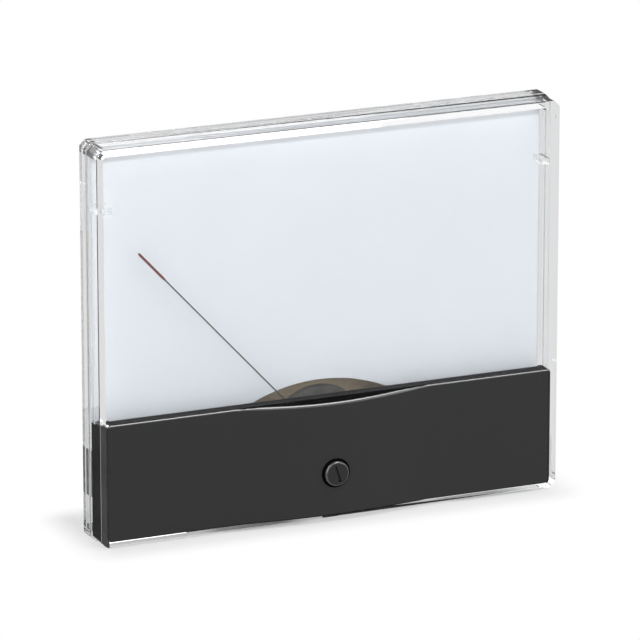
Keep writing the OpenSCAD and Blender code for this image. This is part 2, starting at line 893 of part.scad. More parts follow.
module yoke_ring() {
    color([0.45, 0.45, 0.47])
        at_axis()
            difference() {
                ring(yoke_d / 2, yoke_bore / 2, yoke_y, yoke_end);
                long_screw_holes(yoke_y - cut, yoke_end + cut);
            }
}

module long_screw_holes(y0, y1) {
    for (side = [-1, 1])
        translate([side * pillar_x, 0, 0])
            rod(long_screw_d / 2 + fit_gap, y0, y1);
}

// A bar with round ends across the movement
module bar(y0, y1) {
    end_r = pillar_d / 2;
    slab(y0, y1) {
        translate([-pillar_x, -end_r])
            square([2 * pillar_x, 2 * end_r]);
        for (side = [-1, 1])
            translate([side * pillar_x, 0])
                circle(end_r);
        circle(bar_w / 2);
    }
}

module front_frame() {
    color([0.42, 0.41, 0.39])
        at_axis()
            difference() {
                union() {
                    rod(base_ring_r, base_ring_y, plate_y);
                    for (side = [-1, 1])
                        translate([side * pillar_x, 0, 0])
                            rod(pillar_d / 2, bar_back - tiny, plate_y);
                    bar(bar_y, bar_back);
                    translate([-ear_x, 0, ear_z - axis_z])
                        rod(ear_r, plate_y - ear_t, plate_y);
                    translate([-ear_x, plate_y - ear_t, ear_z - axis_z - ear_r])
                        cube([ear_x - base_ring_r + ear_t, ear_t, 2 * ear_r]);
                }
                rod(yoke_bore / 2 + fit_gap, base_ring_y - tiny, plate_y + cut);
                rod(jewel_screw_d / 2 + fit_gap, bar_y - cut, bar_back + cut);
                long_screw_holes(bar_y - cut, plate_y + cut);
                translate([-ear_x, 0, ear_z - axis_z])
                    rod(lead_hole_r, plate_y - cut, plate_y + cut);
            }
}

module rear_bridge() {
    color([0.42, 0.41, 0.39])
        at_axis()
            difference() {
                union() {
                    for (side = [-1, 1])
                        translate([side * pillar_x, 0, 0])
                            rod(pillar_d / 2, yoke_end, bridge_y + tiny);
                    bar(bridge_y, bridge_end);
                    translate([0, 0, tab_r + post_r])
                        rod(post_r, rear_spring_y, bridge_y + bar_t / 2);
                    slab(bridge_y, bridge_end)
                        translate([-arm_half, 0])
                            square([2 * arm_half, tab_r + 2 * post_r]);
                }
                rod(jewel_screw_d / 2 + fit_gap, bridge_y - cut, bridge_end + cut);
                long_screw_holes(yoke_end - cut, bridge_end + cut);
            }
}

module movement_screws() {
    color([0.75, 0.75, 0.73])
        at_axis()
            for (side = [-1, 1])
                translate([side * pillar_x, 0, 0])
                    slotted_screw(long_screw_d / 2, pillar_d / 2, long_head_t, bar_y, bridge_end + long_tip);
}

// A jewel screw drawn along +Y, from its jewel end at 0 to its slotted end
module jewel_screw(len) {
    difference() {
        rod(jewel_screw_d / 2, 0, len);
        rod(jewel_r + fit_gap, -cut, jewel_t + fit_gap);
        translate([-jewel_screw_d, len - jewel_slot_depth, -jewel_slot_w / 2])
            cube([2 * jewel_screw_d, jewel_slot_depth + cut, jewel_slot_w]);
    }
}

// A jewel with a conical cup, drawn along +Y from its open face at 0
module jewel() {
    difference() {
        rod(jewel_r, 0, jewel_t);
        turned([[0, -tiny], [cup_r + tiny, -tiny], [cup_floor_r, cup_depth], [0, cup_depth]]);
    }
}

module front_jewel_screw() {
    len = screw_back - bar_y + nut_t + front_screw_out;
    color([0.8, 0.66, 0.34])
        at_axis()
            translate([0, screw_back, 0])
                rotate([0, 0, 180])
                    difference() {
                        jewel_screw(len);
                        ring(jewel_screw_d, neck_r, collar_t, screw_back - bar_back);
                    }
}

module front_jewel() {
    color([0.75, 0.1, 0.2])
        at_axis()
            translate([0, screw_back, 0])
                rotate([0, 0, 180])
                    jewel();
}

module front_lock_nut() {
    color([0.8, 0.66, 0.34])
        at_axis()
            lock_nut(bar_y - nut_t, bar_y);
}

module rear_jewel_screw() {
    color([0.8, 0.66, 0.34])
        at_axis()
            translate([0, rear_screw_y, 0])
                jewel_screw(bridge_end - rear_screw_y + nut_t + rear_screw_out);
}

module rear_jewel() {
    color([0.75, 0.1, 0.2])
        at_axis()
            translate([0, rear_screw_y, 0])
                jewel();
}

module rear_lock_nut() {
    color([0.8, 0.66, 0.34])
        at_axis()
            lock_nut(bridge_end, bridge_end + nut_t);
}

module lock_nut(y0, y1) {
    difference() {
        hex_bar(nut_af, y0, y1);
        rod(jewel_screw_d / 2 + fit_gap, y0 - cut, y1 + cut);
    }
}

module pointer_stops() {
    color([0.55, 0.55, 0.56])
        at_axis()
            for (side = [-1, 1])
                rotate([0, side * stop_angle, 0])
                    translate([0, 0, stop_r])
                        rod(stop_d / 2, pointer_face - stop_past, plate_y);
}

module movement_plate() {
    color([0.43, 0.39, 0.33])
        difference() {
            slab(plate_y, yoke_y)
                intersection() {
                    circle(plate_r, $fn = 96);
                    translate([-plate_x, -bore_r])
                        square([2 * plate_x, bore_r + plate_top_z]);
                }
            at_axis()
                rod(yoke_bore / 2 + fit_gap, plate_y - cut, yoke_y + cut);
            at_axis()
                long_screw_holes(plate_y - cut, yoke_y + cut);
            translate([-ear_x, 0, ear_z])
                rod(lead_hole_r, plate_y - cut, yoke_y + cut);
            at_bosses()
                rod(plate_screw_r + fit_gap, plate_y - cut, yoke_y + cut);
        }
}

// Places a shape at the housing's four bosses
module at_bosses() {
    for (a = boss_angles)
        translate([boss_ring * cos(a), 0, boss_ring * sin(a)])
            children();
}

module plate_screws() {
    color([0.75, 0.75, 0.73])
        at_bosses()
            slotted_screw(plate_screw_r, plate_screw_head_r, plate_screw_head_t,
                plate_y, plate_y + plate_screw_len);
}

// --------------------------------------------------------------- housing

// Outline of the base frame, with tabs that centre it in the cover
module frame_outline() {
    round_box(-flange_x, flange_low, flange_x, flange_top, cavity_r);
    for (side = [-1, 1]) {
        for (up = [-1, 1])
            translate([side > 0 ? 0 : -cavity_x + tab_gap,
                    cover_mid + (up > 0 ? tab_near : -tab_far_side)])
                square([cavity_x - tab_gap, tab_far_side - tab_near]);
        translate([side > 0 ? tab_near : -tab_far_top, 0])
            square([tab_far_top - tab_near, cavity_top - tab_gap]);
        translate([side > 0 ? tab_near : -tab_far_top, mask_low + tab_gap])
            square([tab_far_top - tab_near, -mask_low]);
    }
}

// The pale frame behind the dial, which carries the barrel and the studs
module base_frame() {
    color([0.86, 0.87, 0.88])
        difference() {
            union() {
                slab(-flange_t, 0)
                    frame_outline();
                for (side = [-1, 1], z = [cover_low + dial_screw_h, cover_top - dial_pad_drop])
                    translate([side * dial_screw_x, 0, z])
                        rod(dial_pad_r, dial_back, tiny - flange_t);
            }
            rod(spigot_r + fit_gap, -flange_t - cut, cut, $fn = 96);
            for (side = [-1, 1])
                translate([side * dial_screw_x, 0, cover_low + dial_screw_h])
                    rod(dial_screw_r + fit_gap, dial_back - cut, dial_hole_end);
            at_studs() {
                rod(stud_neck_r + fit_gap, -flange_t - cut, cut);
                rod(stud_head_r + fit_gap, -flange_t - cut, stud_head_t - flange_t);
            }
        }
}

// The barrel, seated on the frame's rear face by a spigot in the frame's hole
module rear_housing() {
    color([0.3, 0.25, 0.19])
        difference() {
            union() {
                difference() {
                    union() {
                        turned([
                            [0, -flange_t], [spigot_r, -flange_t], [spigot_r, 0], [barrel_r, 0],
                            [barrel_r, barrel_len - barrel_chamfer],
                            [barrel_r - barrel_chamfer, barrel_len], [0, barrel_len]
                        ], $fn = 96);
                        at_terminals()
                            rod(pad_r, barrel_len - tiny, terminal_start);
                    }
                    rod(bore_r, -flange_t - cut, rear_in, $fn = 96);
                }
                at_bosses()
                    rod(boss_r, yoke_y, rear_in + tiny);
            }
            at_bosses()
                rod(plate_screw_r + fit_gap, yoke_y - cut, plate_y + plate_screw_len + 1);
            at_terminals()
                rod(terminal_d / 2 + fit_gap, rear_in - cut, terminal_start + cut);
        }
}

// Places a shape at the four mounting studs
module at_studs() {
    for (x = [-stud_x, stud_x], z = [cover_mid - stud_z, cover_mid + stud_z])
        translate([x, 0, z])
            children();
}

module mounting_studs() {
    color([0.72, 0.72, 0.7])
        at_studs()
            turned([
                [0, -flange_t], [stud_head_r, -flange_t], [stud_head_r, stud_head_t - flange_t],
                [stud_neck_r, stud_head_t - flange_t], [stud_neck_r, 0], [stud_d / 2, 0],
                [stud_d / 2, stud_len - stud_chamfer], [stud_d / 2 - stud_chamfer, stud_len],
                [0, stud_len]
            ]);
}

// -------------------------------------------------------------- terminals

module terminal_studs() {
    color([0.82, 0.7, 0.38])
        at_terminals() {
            hex_bar(head_af, rear_in - head_t, rear_in);
            turned([
                [0, rear_in - tiny], [terminal_d / 2, rear_in - tiny],
                [terminal_d / 2, terminal_end - terminal_chamfer],
                [terminal_d / 2 - terminal_chamfer, terminal_end], [0, terminal_end]
            ]);
        }
}

// A plain ring on both terminals
module terminal_ring(r_out, y0, thickness) {
    at_terminals()
        ring(r_out, terminal_d / 2 + fit_gap, y0, y0 + thickness);
}

// A hexagon nut on both terminals
module terminal_nut(y0) {
    y1 = y0 + nut_m_t;
    at_terminals()
        difference() {
            intersection() {
                hex_bar(head_af, y0, y1);
                turned([
                    [0, y0], [head_af / 2, y0], [head_af / 2 + nut_corner_r, y0 + nut_chamfer],
                    [head_af / 2 + nut_corner_r, y1 - nut_chamfer], [head_af / 2, y1], [0, y1]
                ]);
            }
            rod(terminal_d / 2 + fit_gap, y0 - cut, y1 + cut);
        }
}

module terminal_washers() {
    color([0.82, 0.7, 0.38])
        terminal_ring(washer_r, terminal_start, washer_t);
}

module terminal_nuts() {
    color([0.82, 0.7, 0.38])
        terminal_nut(nut1_y);
}

// Solder lugs that point outwards and up
module terminal_lugs() {
    color([0.8, 0.8, 0.78])
        for (side = [-1, 1])
            translate([side * terminal_x, 0, terminal_z])
                rotate([0, -side * lug_lean, 0])
                    difference() {
                        slab(lug_y, lug_y + lug_t) {
                            circle(lug_ring_r);
                            translate([-lug_tail_r, 0])
                                square([2 * lug_tail_r, lug_reach]);
                            translate([0, lug_reach])
                                circle(lug_tail_r);
                        }
                        rod(terminal_d / 2 + fit_gap, lug_y - cut, lug_y + lug_t + cut);
                        translate([0, 0, lug_reach])
                            rod(lug_eye_r, lug_y - cut, lug_y + lug_t + cut);
                    }
}

// Split lock washers
module lock_washers() {
    color([0.7, 0.7, 0.7])
        difference() {
            terminal_ring(lock_r, lock_y, lock_t);
            at_terminals()
                translate([0, lock_y - cut, -lock_split / 2])
                    cube([terminal_d, lock_t + 2 * cut, lock_split]);
        }
}

module terminal_outer_nuts() {
    color([0.82, 0.7, 0.38])
        terminal_nut(nut2_y);
}

// ------------------------------------------------------------- lead wires

// Direction of a path at point i
function heading(p, i) =
    let (d = p[min(i + 1, len(p) - 1)] - p[max(i - 1, 0)])
        d / norm(d);

// A round tube of radius r swept along the points of a path
module tube(path, r) {
    rings = len(path);
    rim = [
        for (i = [0 : rings - 1])
            let (t = heading(path, i), u = cross(t, [0.3, 0.2, 0.93]), a = u / norm(u), b = cross(t, a))
                for (k = [0 : lead_sides - 1])
                    path[i] + r * (a * cos(360 * k / lead_sides) + b * sin(360 * k / lead_sides))
    ];
    walls = [
        for (i = [0 : rings - 2], k = [0 : lead_sides - 1])
            let (n = (k + 1) % lead_sides, s = i * lead_sides, e = s + lead_sides)
                [s + k, e + k, e + n, s + n]
    ];
    polyhedron(
        points = rim,
        faces = concat(
            [[for (k = [0 : lead_sides - 1]) k]],
            walls,
            [[for (k = [lead_sides - 1 : -1 : 0]) (rings - 1) * lead_sides + k]]
        )
    );
}

// A smooth path through four control points
function smooth(a, b, c, d, steps) = [
    for (i = [0 : steps])
        let (t = i / steps, s = 1 - t)
            s * s * s * a + 3 * s * s * t * b + 3 * s * t * t * c + t * t * t * d
];

// The positive lead, from the rear bridge to the right terminal's head
module positive_lead() {
    color([0.7, 0.1, 0.08])
        tube(smooth(
            [lead_bridge_x, lead_bridge_y, axis_z],
            [lead_bridge_x, lead_bridge_y + 1.4, axis_z + lead_rise],
            [terminal_x, head_face - lead_bow, terminal_z - lead_rise - lead_bow],
            [terminal_x, lead_end_y, terminal_z],
            lead_steps), lead_d / 2);
}

// The negative lead, from the front frame's ear to the left terminal's head
module negative_lead() {
    color([0.12, 0.12, 0.13])
        tube(concat(
            [[-ear_x, lead_ear_y, ear_z]],
            smooth(
                [-ear_x, yoke_y + lead_d / 2, ear_z],
                [-ear_x, yoke_y + lead_rise - lead_bow, ear_z],
                [-terminal_x, head_face - 2 * lead_bow, terminal_z - lead_rise],
                [-terminal_x, lead_end_y, terminal_z],
                lead_steps)
        ), lead_d / 2);
}

// ------------------------------------------------------------------ parts

front_cover();
lower_mask();
zero_adjuster();
zero_lever();
dial_plate();
dial_screws();
pointer();
balance_weights();
coil_former();
coil_winding();
front_pivot();
rear_pivot();
front_hairspring();
rear_hairspring();
core_magnet();
core_spacers();
yoke_ring();
front_frame();
rear_bridge();
movement_screws();
front_jewel_screw();
front_jewel();
front_lock_nut();
rear_jewel_screw();
rear_jewel();
rear_lock_nut();
pointer_stops();
movement_plate();
plate_screws();
base_frame();
rear_housing();
mounting_studs();
terminal_studs();
terminal_washers();
terminal_nuts();
terminal_lugs();
lock_washers();
terminal_outer_nuts();
positive_lead();
negative_lead();
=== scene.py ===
# %% [markdown]
# # A moving-coil panel meter
#
# This lesson dresses an analog panel meter: a clear moulded cover, a black
# mask with a zero adjuster, a blank enamelled dial, a thin pointer, and the
# brown housing with its studs and terminals behind the panel.
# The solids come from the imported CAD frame, in metres, with the panel plane
# at y = 0, the front at negative y and z up. Nothing is moved here. A solid
# either gets a finish of its own, or a more detailed piece replaces it.

import json
import math

import bmesh
import bpy
from mathutils import Matrix, Vector


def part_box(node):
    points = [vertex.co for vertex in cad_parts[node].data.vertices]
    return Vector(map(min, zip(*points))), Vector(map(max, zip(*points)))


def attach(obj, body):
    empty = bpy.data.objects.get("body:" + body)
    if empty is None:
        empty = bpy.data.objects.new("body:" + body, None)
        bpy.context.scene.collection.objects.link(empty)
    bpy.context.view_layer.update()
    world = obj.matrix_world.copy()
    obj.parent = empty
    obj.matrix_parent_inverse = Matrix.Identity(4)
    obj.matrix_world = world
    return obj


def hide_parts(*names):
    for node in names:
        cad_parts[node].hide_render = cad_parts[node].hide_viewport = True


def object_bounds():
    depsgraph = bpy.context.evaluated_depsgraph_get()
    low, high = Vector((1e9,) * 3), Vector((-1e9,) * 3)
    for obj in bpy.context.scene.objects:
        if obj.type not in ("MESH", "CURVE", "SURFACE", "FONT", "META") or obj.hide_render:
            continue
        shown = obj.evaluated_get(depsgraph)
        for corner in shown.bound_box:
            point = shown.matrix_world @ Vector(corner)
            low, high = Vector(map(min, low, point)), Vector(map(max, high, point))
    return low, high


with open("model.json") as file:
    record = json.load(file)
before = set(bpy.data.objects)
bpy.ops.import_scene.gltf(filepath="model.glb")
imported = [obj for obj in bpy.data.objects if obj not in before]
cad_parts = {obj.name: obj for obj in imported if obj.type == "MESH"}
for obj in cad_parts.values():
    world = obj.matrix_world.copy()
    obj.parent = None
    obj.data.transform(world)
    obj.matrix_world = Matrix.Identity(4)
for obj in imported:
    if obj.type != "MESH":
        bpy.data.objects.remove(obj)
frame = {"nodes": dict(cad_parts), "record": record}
cad_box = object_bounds()
nodes = frame["nodes"]
scene = bpy.context.scene
MM = 0.001


def mm(x, y, z):
    """A point given in millimetres, as a vector in metres."""
    return Vector((x, y, z)) * MM


def linked(name, data):
    """A new object in the scene that holds the data."""
    thing = bpy.data.objects.new(name, data)
    scene.collection.objects.link(thing)
    return thing


print(len(nodes), "solids; the object's box in metres is", [list(map(float, c)) for c in cad_box])

# %% [markdown]
# ## Camera
#
# The meter is seen from the front left and a little above, from more than a
# metre away through a long lens, so its edges stay almost parallel. The
# camera stands on a line from a point near the middle of the cover, and
# aiming its -Z axis at that point with Y up keeps the horizon level.

# %% Place the camera
AZIMUTH = math.radians(-23.19)
ELEVATION = math.radians(16.84)
DISTANCE = 1.188
TARGET = mm(-0.91, -5.0, 6.66)

level = math.cos(ELEVATION)
away = Vector((math.sin(AZIMUTH) * level, -math.cos(AZIMUTH) * level, math.sin(ELEVATION)))
camera = linked("camera", bpy.data.cameras.new("camera"))
camera.data.lens = 334.9
camera.data.sensor_width = 36.0
camera.data.clip_end = 20.0
camera.location = TARGET + away * DISTANCE
camera.rotation_euler = (-away).to_track_quat("-Z", "Y").to_euler()
scene.camera = camera
print("camera at", [round(v, 4) for v in camera.location])

# %% [markdown]
# ## Nodes
#
# The studio, the finishes, the threads and the coil are all built from
# nodes. These helpers make a node with its values and links in one line.

# %% Helpers for nodes


def feed(tree, socket, value):
    """Sets a socket to a value, or links it from another socket."""
    if isinstance(value, bpy.types.NodeSocket):
        tree.links.new(value, socket)
    else:
        socket.default_value = value


def feed_all(tree, node, inputs):
    """Feeds a node's inputs by their names, written with _ for each space."""
    for name, value in inputs.items():
        feed(tree, node.inputs[name.replace("_", " ")], value)
    return node


def add(tree, kind, **inputs):
    """A new node of a kind, with its inputs fed."""
    return feed_all(tree, tree.nodes.new(kind), inputs)


def operate(tree, kind, operation, values):
    """The outputs of a node that works on values, each a number, a triple or a socket."""
    node = tree.nodes.new(kind)
    node.operation = operation
    for socket, value in zip(node.inputs, values):
        feed(tree, socket, value)
    return node.outputs


def math_node(tree, operation, *values):
    """The result of a Math node."""
    return operate(tree, "ShaderNodeMath", operation, values)[0]


def vector_node(tree, operation, *values):
    """The result of a Vector Math node."""
    outputs = operate(tree, "ShaderNodeVectorMath", operation, values)
    return outputs["Value" if operation == "LENGTH" else "Vector"]


def map_range(tree, value, low, high, to_low=0.0, to_high=1.0, smooth=False):
    """A value taken from one range to another, clamped at both ends."""
    node = add(
        tree, "ShaderNodeMapRange", Value=value,
        From_Min=low, From_Max=high, To_Min=to_low, To_Max=to_high,
    )
    node.interpolation_type = "SMOOTHSTEP" if smooth else "LINEAR"
    return node.outputs["Result"]


def mix_shaders(tree, share, first, second, out):
    """Mixes two shader nodes into an output node's surface."""
    mix = add(tree, "ShaderNodeMixShader", Fac=share)
    tree.links.new(first.outputs[0], mix.inputs[1])
    tree.links.new(second.outputs[0], mix.inputs[2])
    tree.links.new(mix.outputs[0], out.inputs["Surface"])


def object_place(tree):
    """The place on the object, in its own coordinates in metres."""
    return tree.nodes.new("ShaderNodeTexCoord").outputs["Object"]


def sees_rays(tree):
    """A socket that is 1 for rays that look: from the camera, a reflection or through glass."""
    rays = tree.nodes.new("ShaderNodeLightPath").outputs
    looks = math_node(tree, "MAXIMUM", rays["Is Camera Ray"], rays["Is Glossy Ray"])
    return math_node(tree, "MAXIMUM", looks, rays["Is Transmission Ray"])


finishes = {}


def new_finish(name, colour, rough, metal=0.0, **more):
    """A material with one Principled shader; more of its inputs go by name."""
    finish = finishes[name] = bpy.data.materials.new(name)
    finish.use_nodes = True
    values = {"Base_Color": (*colour, 1.0), "Roughness": rough, "Metallic": metal, **more}
    feed_all(finish.node_tree, finish.node_tree.nodes["Principled BSDF"], values)
    return finish


def bare_material(name):
    """A material, its tree, and the output node that the tree starts with."""
    material = bpy.data.materials.new(name)
    material.use_nodes = True
    tree = material.node_tree
    tree.nodes.clear()
    return material, tree, tree.nodes.new("ShaderNodeOutputMaterial")


print("node helpers ready")

# %% [markdown]
# ## Studio
#
# Clear plastic has no look of its own: it shows what stands round it. So the
# studio is mostly white, with large soft lamps whose edges draw the bright
# lines along the mouldings. The world is white for the rays that see it,
# through the cover or in a reflection, and greyer as a light, so that the
# colours come out as they are written.

# %% Set up the world
scene.view_settings.view_transform = "Standard"

world = bpy.data.worlds.new("studio_air")
scene.world = world
world.use_nodes = True
air = world.node_tree
air.nodes.clear()
air_light = add(air, "ShaderNodeBackground", Color=(0.96, 0.98, 1.0, 1.0), Strength=0.34)
air_seen = add(air, "ShaderNodeBackground", Color=(1.0, 1.0, 1.0, 1.0), Strength=1.0)
mix_shaders(air, sees_rays(air), air_light, air_seen, air.nodes.new("ShaderNodeOutputWorld"))
print("world lights at", air_light.inputs["Strength"].default_value)

# %% [markdown]
# The meter stands on a white table. Close round its foot the table is a lit
# surface that holds the soft shadow, and a few millimetres further out it
# turns into plain white. The blend is driven by the distance from the
# meter's footprint, a box in the table's own coordinates. Reflections and
# clear plastic see the same table a little greyer than the lens does,
# because a table that is as bright as the air would leave the cover without
# any outline. In two places behind the foot, left and right under the
# meter, the table is left to the lamps alone, and the clear rim over them
# picks up a darker tone.

# %% Make the table
FLOOR_Z = cad_box[0][2]
FOOT = (47.5 * MM, 10.0 * MM, 0.0)    # half the footprint: across, and in front of the panel
SHADOW_REACH = 9.0 * MM
LIT_AT_FOOT = 0.55
SEEN_IN_GLASS = 0.74
SHADE_MIDDLE = (11.0 * MM, 9.0 * MM, 0.0)    # midway between the two dark places
SHADE_APART = (25.0 * MM, 0.0, 0.0)          # from there to the middle of either
SHADE_HALF = (6.0 * MM, 14.0 * MM, 0.0)
SHADE_FADE = 6.0 * MM
LIT_IN_SHADE = 0.22
NOWHERE = (0.0, 0.0, 0.0)


def sheet_mesh(name, x0, y0, x1, y1, z):
    """A flat sheet as a mesh, with its place in its vertices."""
    mesh = bpy.data.meshes.new(name)
    mesh.from_pydata([(x0, y0, z), (x1, y0, z), (x1, y1, z), (x0, y1, z)], [], [(0, 1, 2, 3)])
    return mesh


def apart(tree, place, middle):
    """How far a place is from a middle along each axis."""
    return vector_node(tree, "ABSOLUTE", vector_node(tree, "SUBTRACT", place, middle))


def outside(tree, distances, half, fade, inside):
    """Rises from a value inside a box to 1 at a fade's distance round it."""
    past = vector_node(tree, "MAXIMUM", vector_node(tree, "SUBTRACT", distances, half), NOWHERE)
    return map_range(tree, vector_node(tree, "LENGTH", past), 0.0, fade, inside, smooth=True)


HALF = 3.0                            # half the table's side, metres
table = linked("table", sheet_mesh("table", -HALF, -HALF, HALF, HALF, FLOOR_Z))

table_paint, tt, tt_out = bare_material("table_white")
tt_flat = vector_node(tt, "MULTIPLY", object_place(tt), (1.0, 1.0, 0.0))
tt_foot = outside(tt, apart(tt, tt_flat, NOWHERE), FOOT, SHADOW_REACH, LIT_AT_FOOT)
tt_pair = apart(tt, apart(tt, tt_flat, SHADE_MIDDLE), SHADE_APART)
tt_shade = outside(tt, tt_pair, SHADE_HALF, SHADE_FADE, LIT_IN_SHADE)
tt_share = math_node(tt, "MULTIPLY", math_node(tt, "MULTIPLY", tt_foot, tt_shade), sees_rays(tt))
tt_lens = tt.nodes.new("ShaderNodeLightPath").outputs["Is Camera Ray"]
tt_glow = math_node(tt, "MULTIPLY_ADD", tt_lens, 1.0 - SEEN_IN_GLASS, SEEN_IN_GLASS)
tt_lit = add(tt, "ShaderNodeBsdfDiffuse", Color=(0.86, 0.86, 0.86, 1.0))
mix_shaders(tt, tt_share, tt_lit, add(tt, "ShaderNodeEmission", Strength=tt_glow), tt_out)
table.data.materials.append(table_paint)
print("table at z =", round(FLOOR_Z, 4))

# %% [markdown]
# A black card lies on the table behind the meter's left side, where the lens
# doesn't see it; only reflections see it. It stands in for the meter's shade
# on the table there, a painted shade in the reflections. The low part of the
# clear side wall mirrors it, so that the mask behind that wall keeps its black.

# %% Lay out the black card


def only_in_reflections(thing):
    """Hides a card from every kind of ray but reflections."""
    for ray in ("camera", "diffuse", "shadow", "transmission"):
        setattr(thing, "visible_" + ray, False)


# Painted shade: this card only darkens what the clear wall mirrors beside the meter.
CARD_LEFT, CARD_RIGHT, CARD_FRONT, CARD_BACK = -95.0 * MM, -50.5 * MM, -9.0 * MM, 78.0 * MM
card = linked(
    "painted_shade_card",
    sheet_mesh("painted_shade_card", CARD_LEFT, CARD_FRONT, CARD_RIGHT, CARD_BACK, FLOOR_Z + 0.2 * MM),
)
only_in_reflections(card)
card_paint = new_finish("card_black", (0.01, 0.01, 0.01), 0.5, Specular_IOR_Level=0.0)
card.data.materials.append(card_paint)
print("black card laid behind the left side")

# %% [markdown]
# A grey card stands half a metre behind the meter, just where the flat top
# of the cover mirrors towards the lens. It glows a flat grey and only
# reflections see it, a painted reflection. Without it the top wall would be
# as white as the air round it.

# %% Stand up the grey card
painted_reflection_card = linked("painted_reflection_card", bpy.data.meshes.new("painted_reflection_card"))
card_corners = [(0.02, 0.5, 0.175), (0.42, 0.5, 0.175), (0.42, 0.5, 0.245), (0.02, 0.5, 0.245)]
painted_reflection_card.data.from_pydata(card_corners, [], [(0, 1, 2, 3)])
only_in_reflections(painted_reflection_card)
grey_paint, gt, gt_out = bare_material("card_grey")
# Painted reflection: a flat grey glow that no lamp gives.
grey_glow = add(gt, "ShaderNodeEmission", Color=(0.4, 0.4, 0.41, 1.0))
gt.links.new(grey_glow.outputs[0], gt_out.inputs["Surface"])
painted_reflection_card.data.materials.append(grey_paint)
print("grey card stands behind")

# %% [markdown]
# Four soft lamps light the meter. The one above stands where the rounded top
# edges of the mouldings mirror it towards the lens, so those edges get a
# clean pale line. A fifth, small lamp only shows in reflections: it draws
# the crescent on the adjuster's rim.

# %% Hang the lamps


def soft_lamp(name, place, width, height, watts):
    """A rectangular area lamp at a place in metres, turned towards the meter."""
    lamp = linked(name, bpy.data.lights.new(name, "AREA"))
    lamp.data.shape = "RECTANGLE"
    lamp.data.size = width
    lamp.data.size_y = height
    lamp.data.energy = watts
    lamp.location = place
    lamp.rotation_euler = (-Vector(place)).to_track_quat("-Z", "Y").to_euler()
    return lamp


lamps = [
    soft_lamp("lamp_top", (0.3, -0.3, 0.95), 0.6, 0.5, 4.4),
    soft_lamp("lamp_glint", (-0.55, -0.4, 0.66), 0.09, 0.09, 1.2),
    soft_lamp("lamp_left", (-0.9, -0.5, 0.35), 0.5, 0.8, 2.75),
    soft_lamp("lamp_right", (0.9, -0.8, 0.4), 0.6, 0.6, 1.6),
    soft_lamp("lamp_back", (0.0, 0.9, 0.5), 0.9, 0.5, 1.8),
]
lamps[1].visible_diffuse = False
print(len(lamps), "lamps,", round(sum(l.data.energy for l in lamps), 1), "W in all")

# %% [markdown]
# ## Finishes
#
# Every finish starts from one shader with its plain values, and then gets
# the marks that its making leaves: spark-eroded grain on moulded plastic,
# orange peel on enamel, turning rings on screws and studs. Those marks read
# the object's own coordinates in metres, so a scale of 1000 is one cell per
# millimetre.

# %% Helpers for finishes


def grain(finish, scale, detail=3.0, stretch=(1.0, 1.0, 1.0)):
    """A noise on the object's coordinates, stretched along its axes."""
    tree = finish.node_tree
    place = add(tree, "ShaderNodeMapping", Vector=object_place(tree), Scale=stretch).outputs[0]
    noise = add(tree, "ShaderNodeTexNoise", Vector=place, Scale=scale, Detail=detail)
    return noise.outputs["Fac"]


def shade_with(finish, input_name, socket):
    """Links a socket to an input of the finish's shader."""
    finish.node_tree.links.new(socket, finish.node_tree.nodes["Principled BSDF"].inputs[input_name])


def as_field(finish, field):
    """A socket as it is, or the grain that a list of scale, detail and stretch asks for."""
    return grain(finish, *field) if isinstance(field, list) else field


def vary_colour(finish, field, dark, light, low=0.3, high=0.7):
    """The base colour runs from dark to light while a field goes from low to high."""
    ramp = add(finish.node_tree, "ShaderNodeValToRGB", Fac=as_field(finish, field))
    for stop, place, colour in zip(ramp.color_ramp.elements, (low, high), (dark, light)):
        stop.position = place
        stop.color = (*colour, 1.0)
    shade_with(finish, "Base Color", ramp.outputs["Color"])


def vary_rough(finish, field, low, high):
    """The roughness runs from low to high with a field."""
    span = map_range(finish.node_tree, as_field(finish, field), 0.3, 0.7, low, high)
    shade_with(finish, "Roughness", span)


def raise_grain(finish, field, height, strength):
    """A bump of a height in metres."""
    field = as_field(finish, field)
    bump = add(finish.node_tree, "ShaderNodeBump", Height=field, Strength=strength, Distance=height)
    shade_with(finish, "Normal", bump.outputs["Normal"])


print("finish helpers ready")

# %% [markdown]
# The cover is clear acrylic. Light has to reach the dial through it, so the
# lamps' shadow rays pass as if it were open, and every other ray is bent by
# the true index of 1.49. A faint waviness, longer along the cover than
# across it, is the sink that every thick moulding has.

# %% Mix the clear plastic
INDEX = 1.49
clear_plastic = new_finish(
    "clear_plastic", (0.985, 0.99, 0.995), 0.004, IOR=INDEX, Transmission_Weight=1.0
)
ct = clear_plastic.node_tree
clear_open = add(ct, "ShaderNodeBsdfTransparent", Color=(0.96, 0.97, 0.98, 1.0))
lamp_ray = ct.nodes.new("ShaderNodeLightPath").outputs["Is Shadow Ray"]
mix_shaders(ct, lamp_ray, ct.nodes["Principled BSDF"], clear_open, ct.nodes["Material Output"])
raise_grain(clear_plastic, [170.0, 2.0, (0.12, 1.0, 1.0)], 0.0006, 0.06)
print("clear plastic, index", INDEX)

# %% [markdown]
# The black mask is satin: its mould was spark-eroded, which leaves a very
# fine grain. Its top ledge gets a painted shade, a near-black with almost no
# sheen, and the mould's polished parting edge leaves a bright line along
# the ledge. Where the mask wets the clear wall there is no air between the
# two, so nothing is mirrored and it shows a plain deep grey. The cement is
# streaked. The adjuster comes from a polished mould and shines more.

# %% Mix the black plastics
mask_black = new_finish("mask_black", (0.026, 0.026, 0.0265), 0.42, Specular_IOR_Level=0.32)
raise_grain(mask_black, [5200.0, 2.0], 0.000012, 0.35)
vary_rough(mask_black, [60.0], 0.38, 0.46)

# Painted shade: near-black with almost no sheen, for the mask's ledge, its right and lower rounds,
# the adjuster's recess and the knob's deep faces.
painted_shade_black = new_finish("painted_shade_black", (0.003, 0.003, 0.0033), 0.75, Specular_IOR_Level=0.06)
raise_grain(painted_shade_black, [2600.0], 0.00003, 0.4)

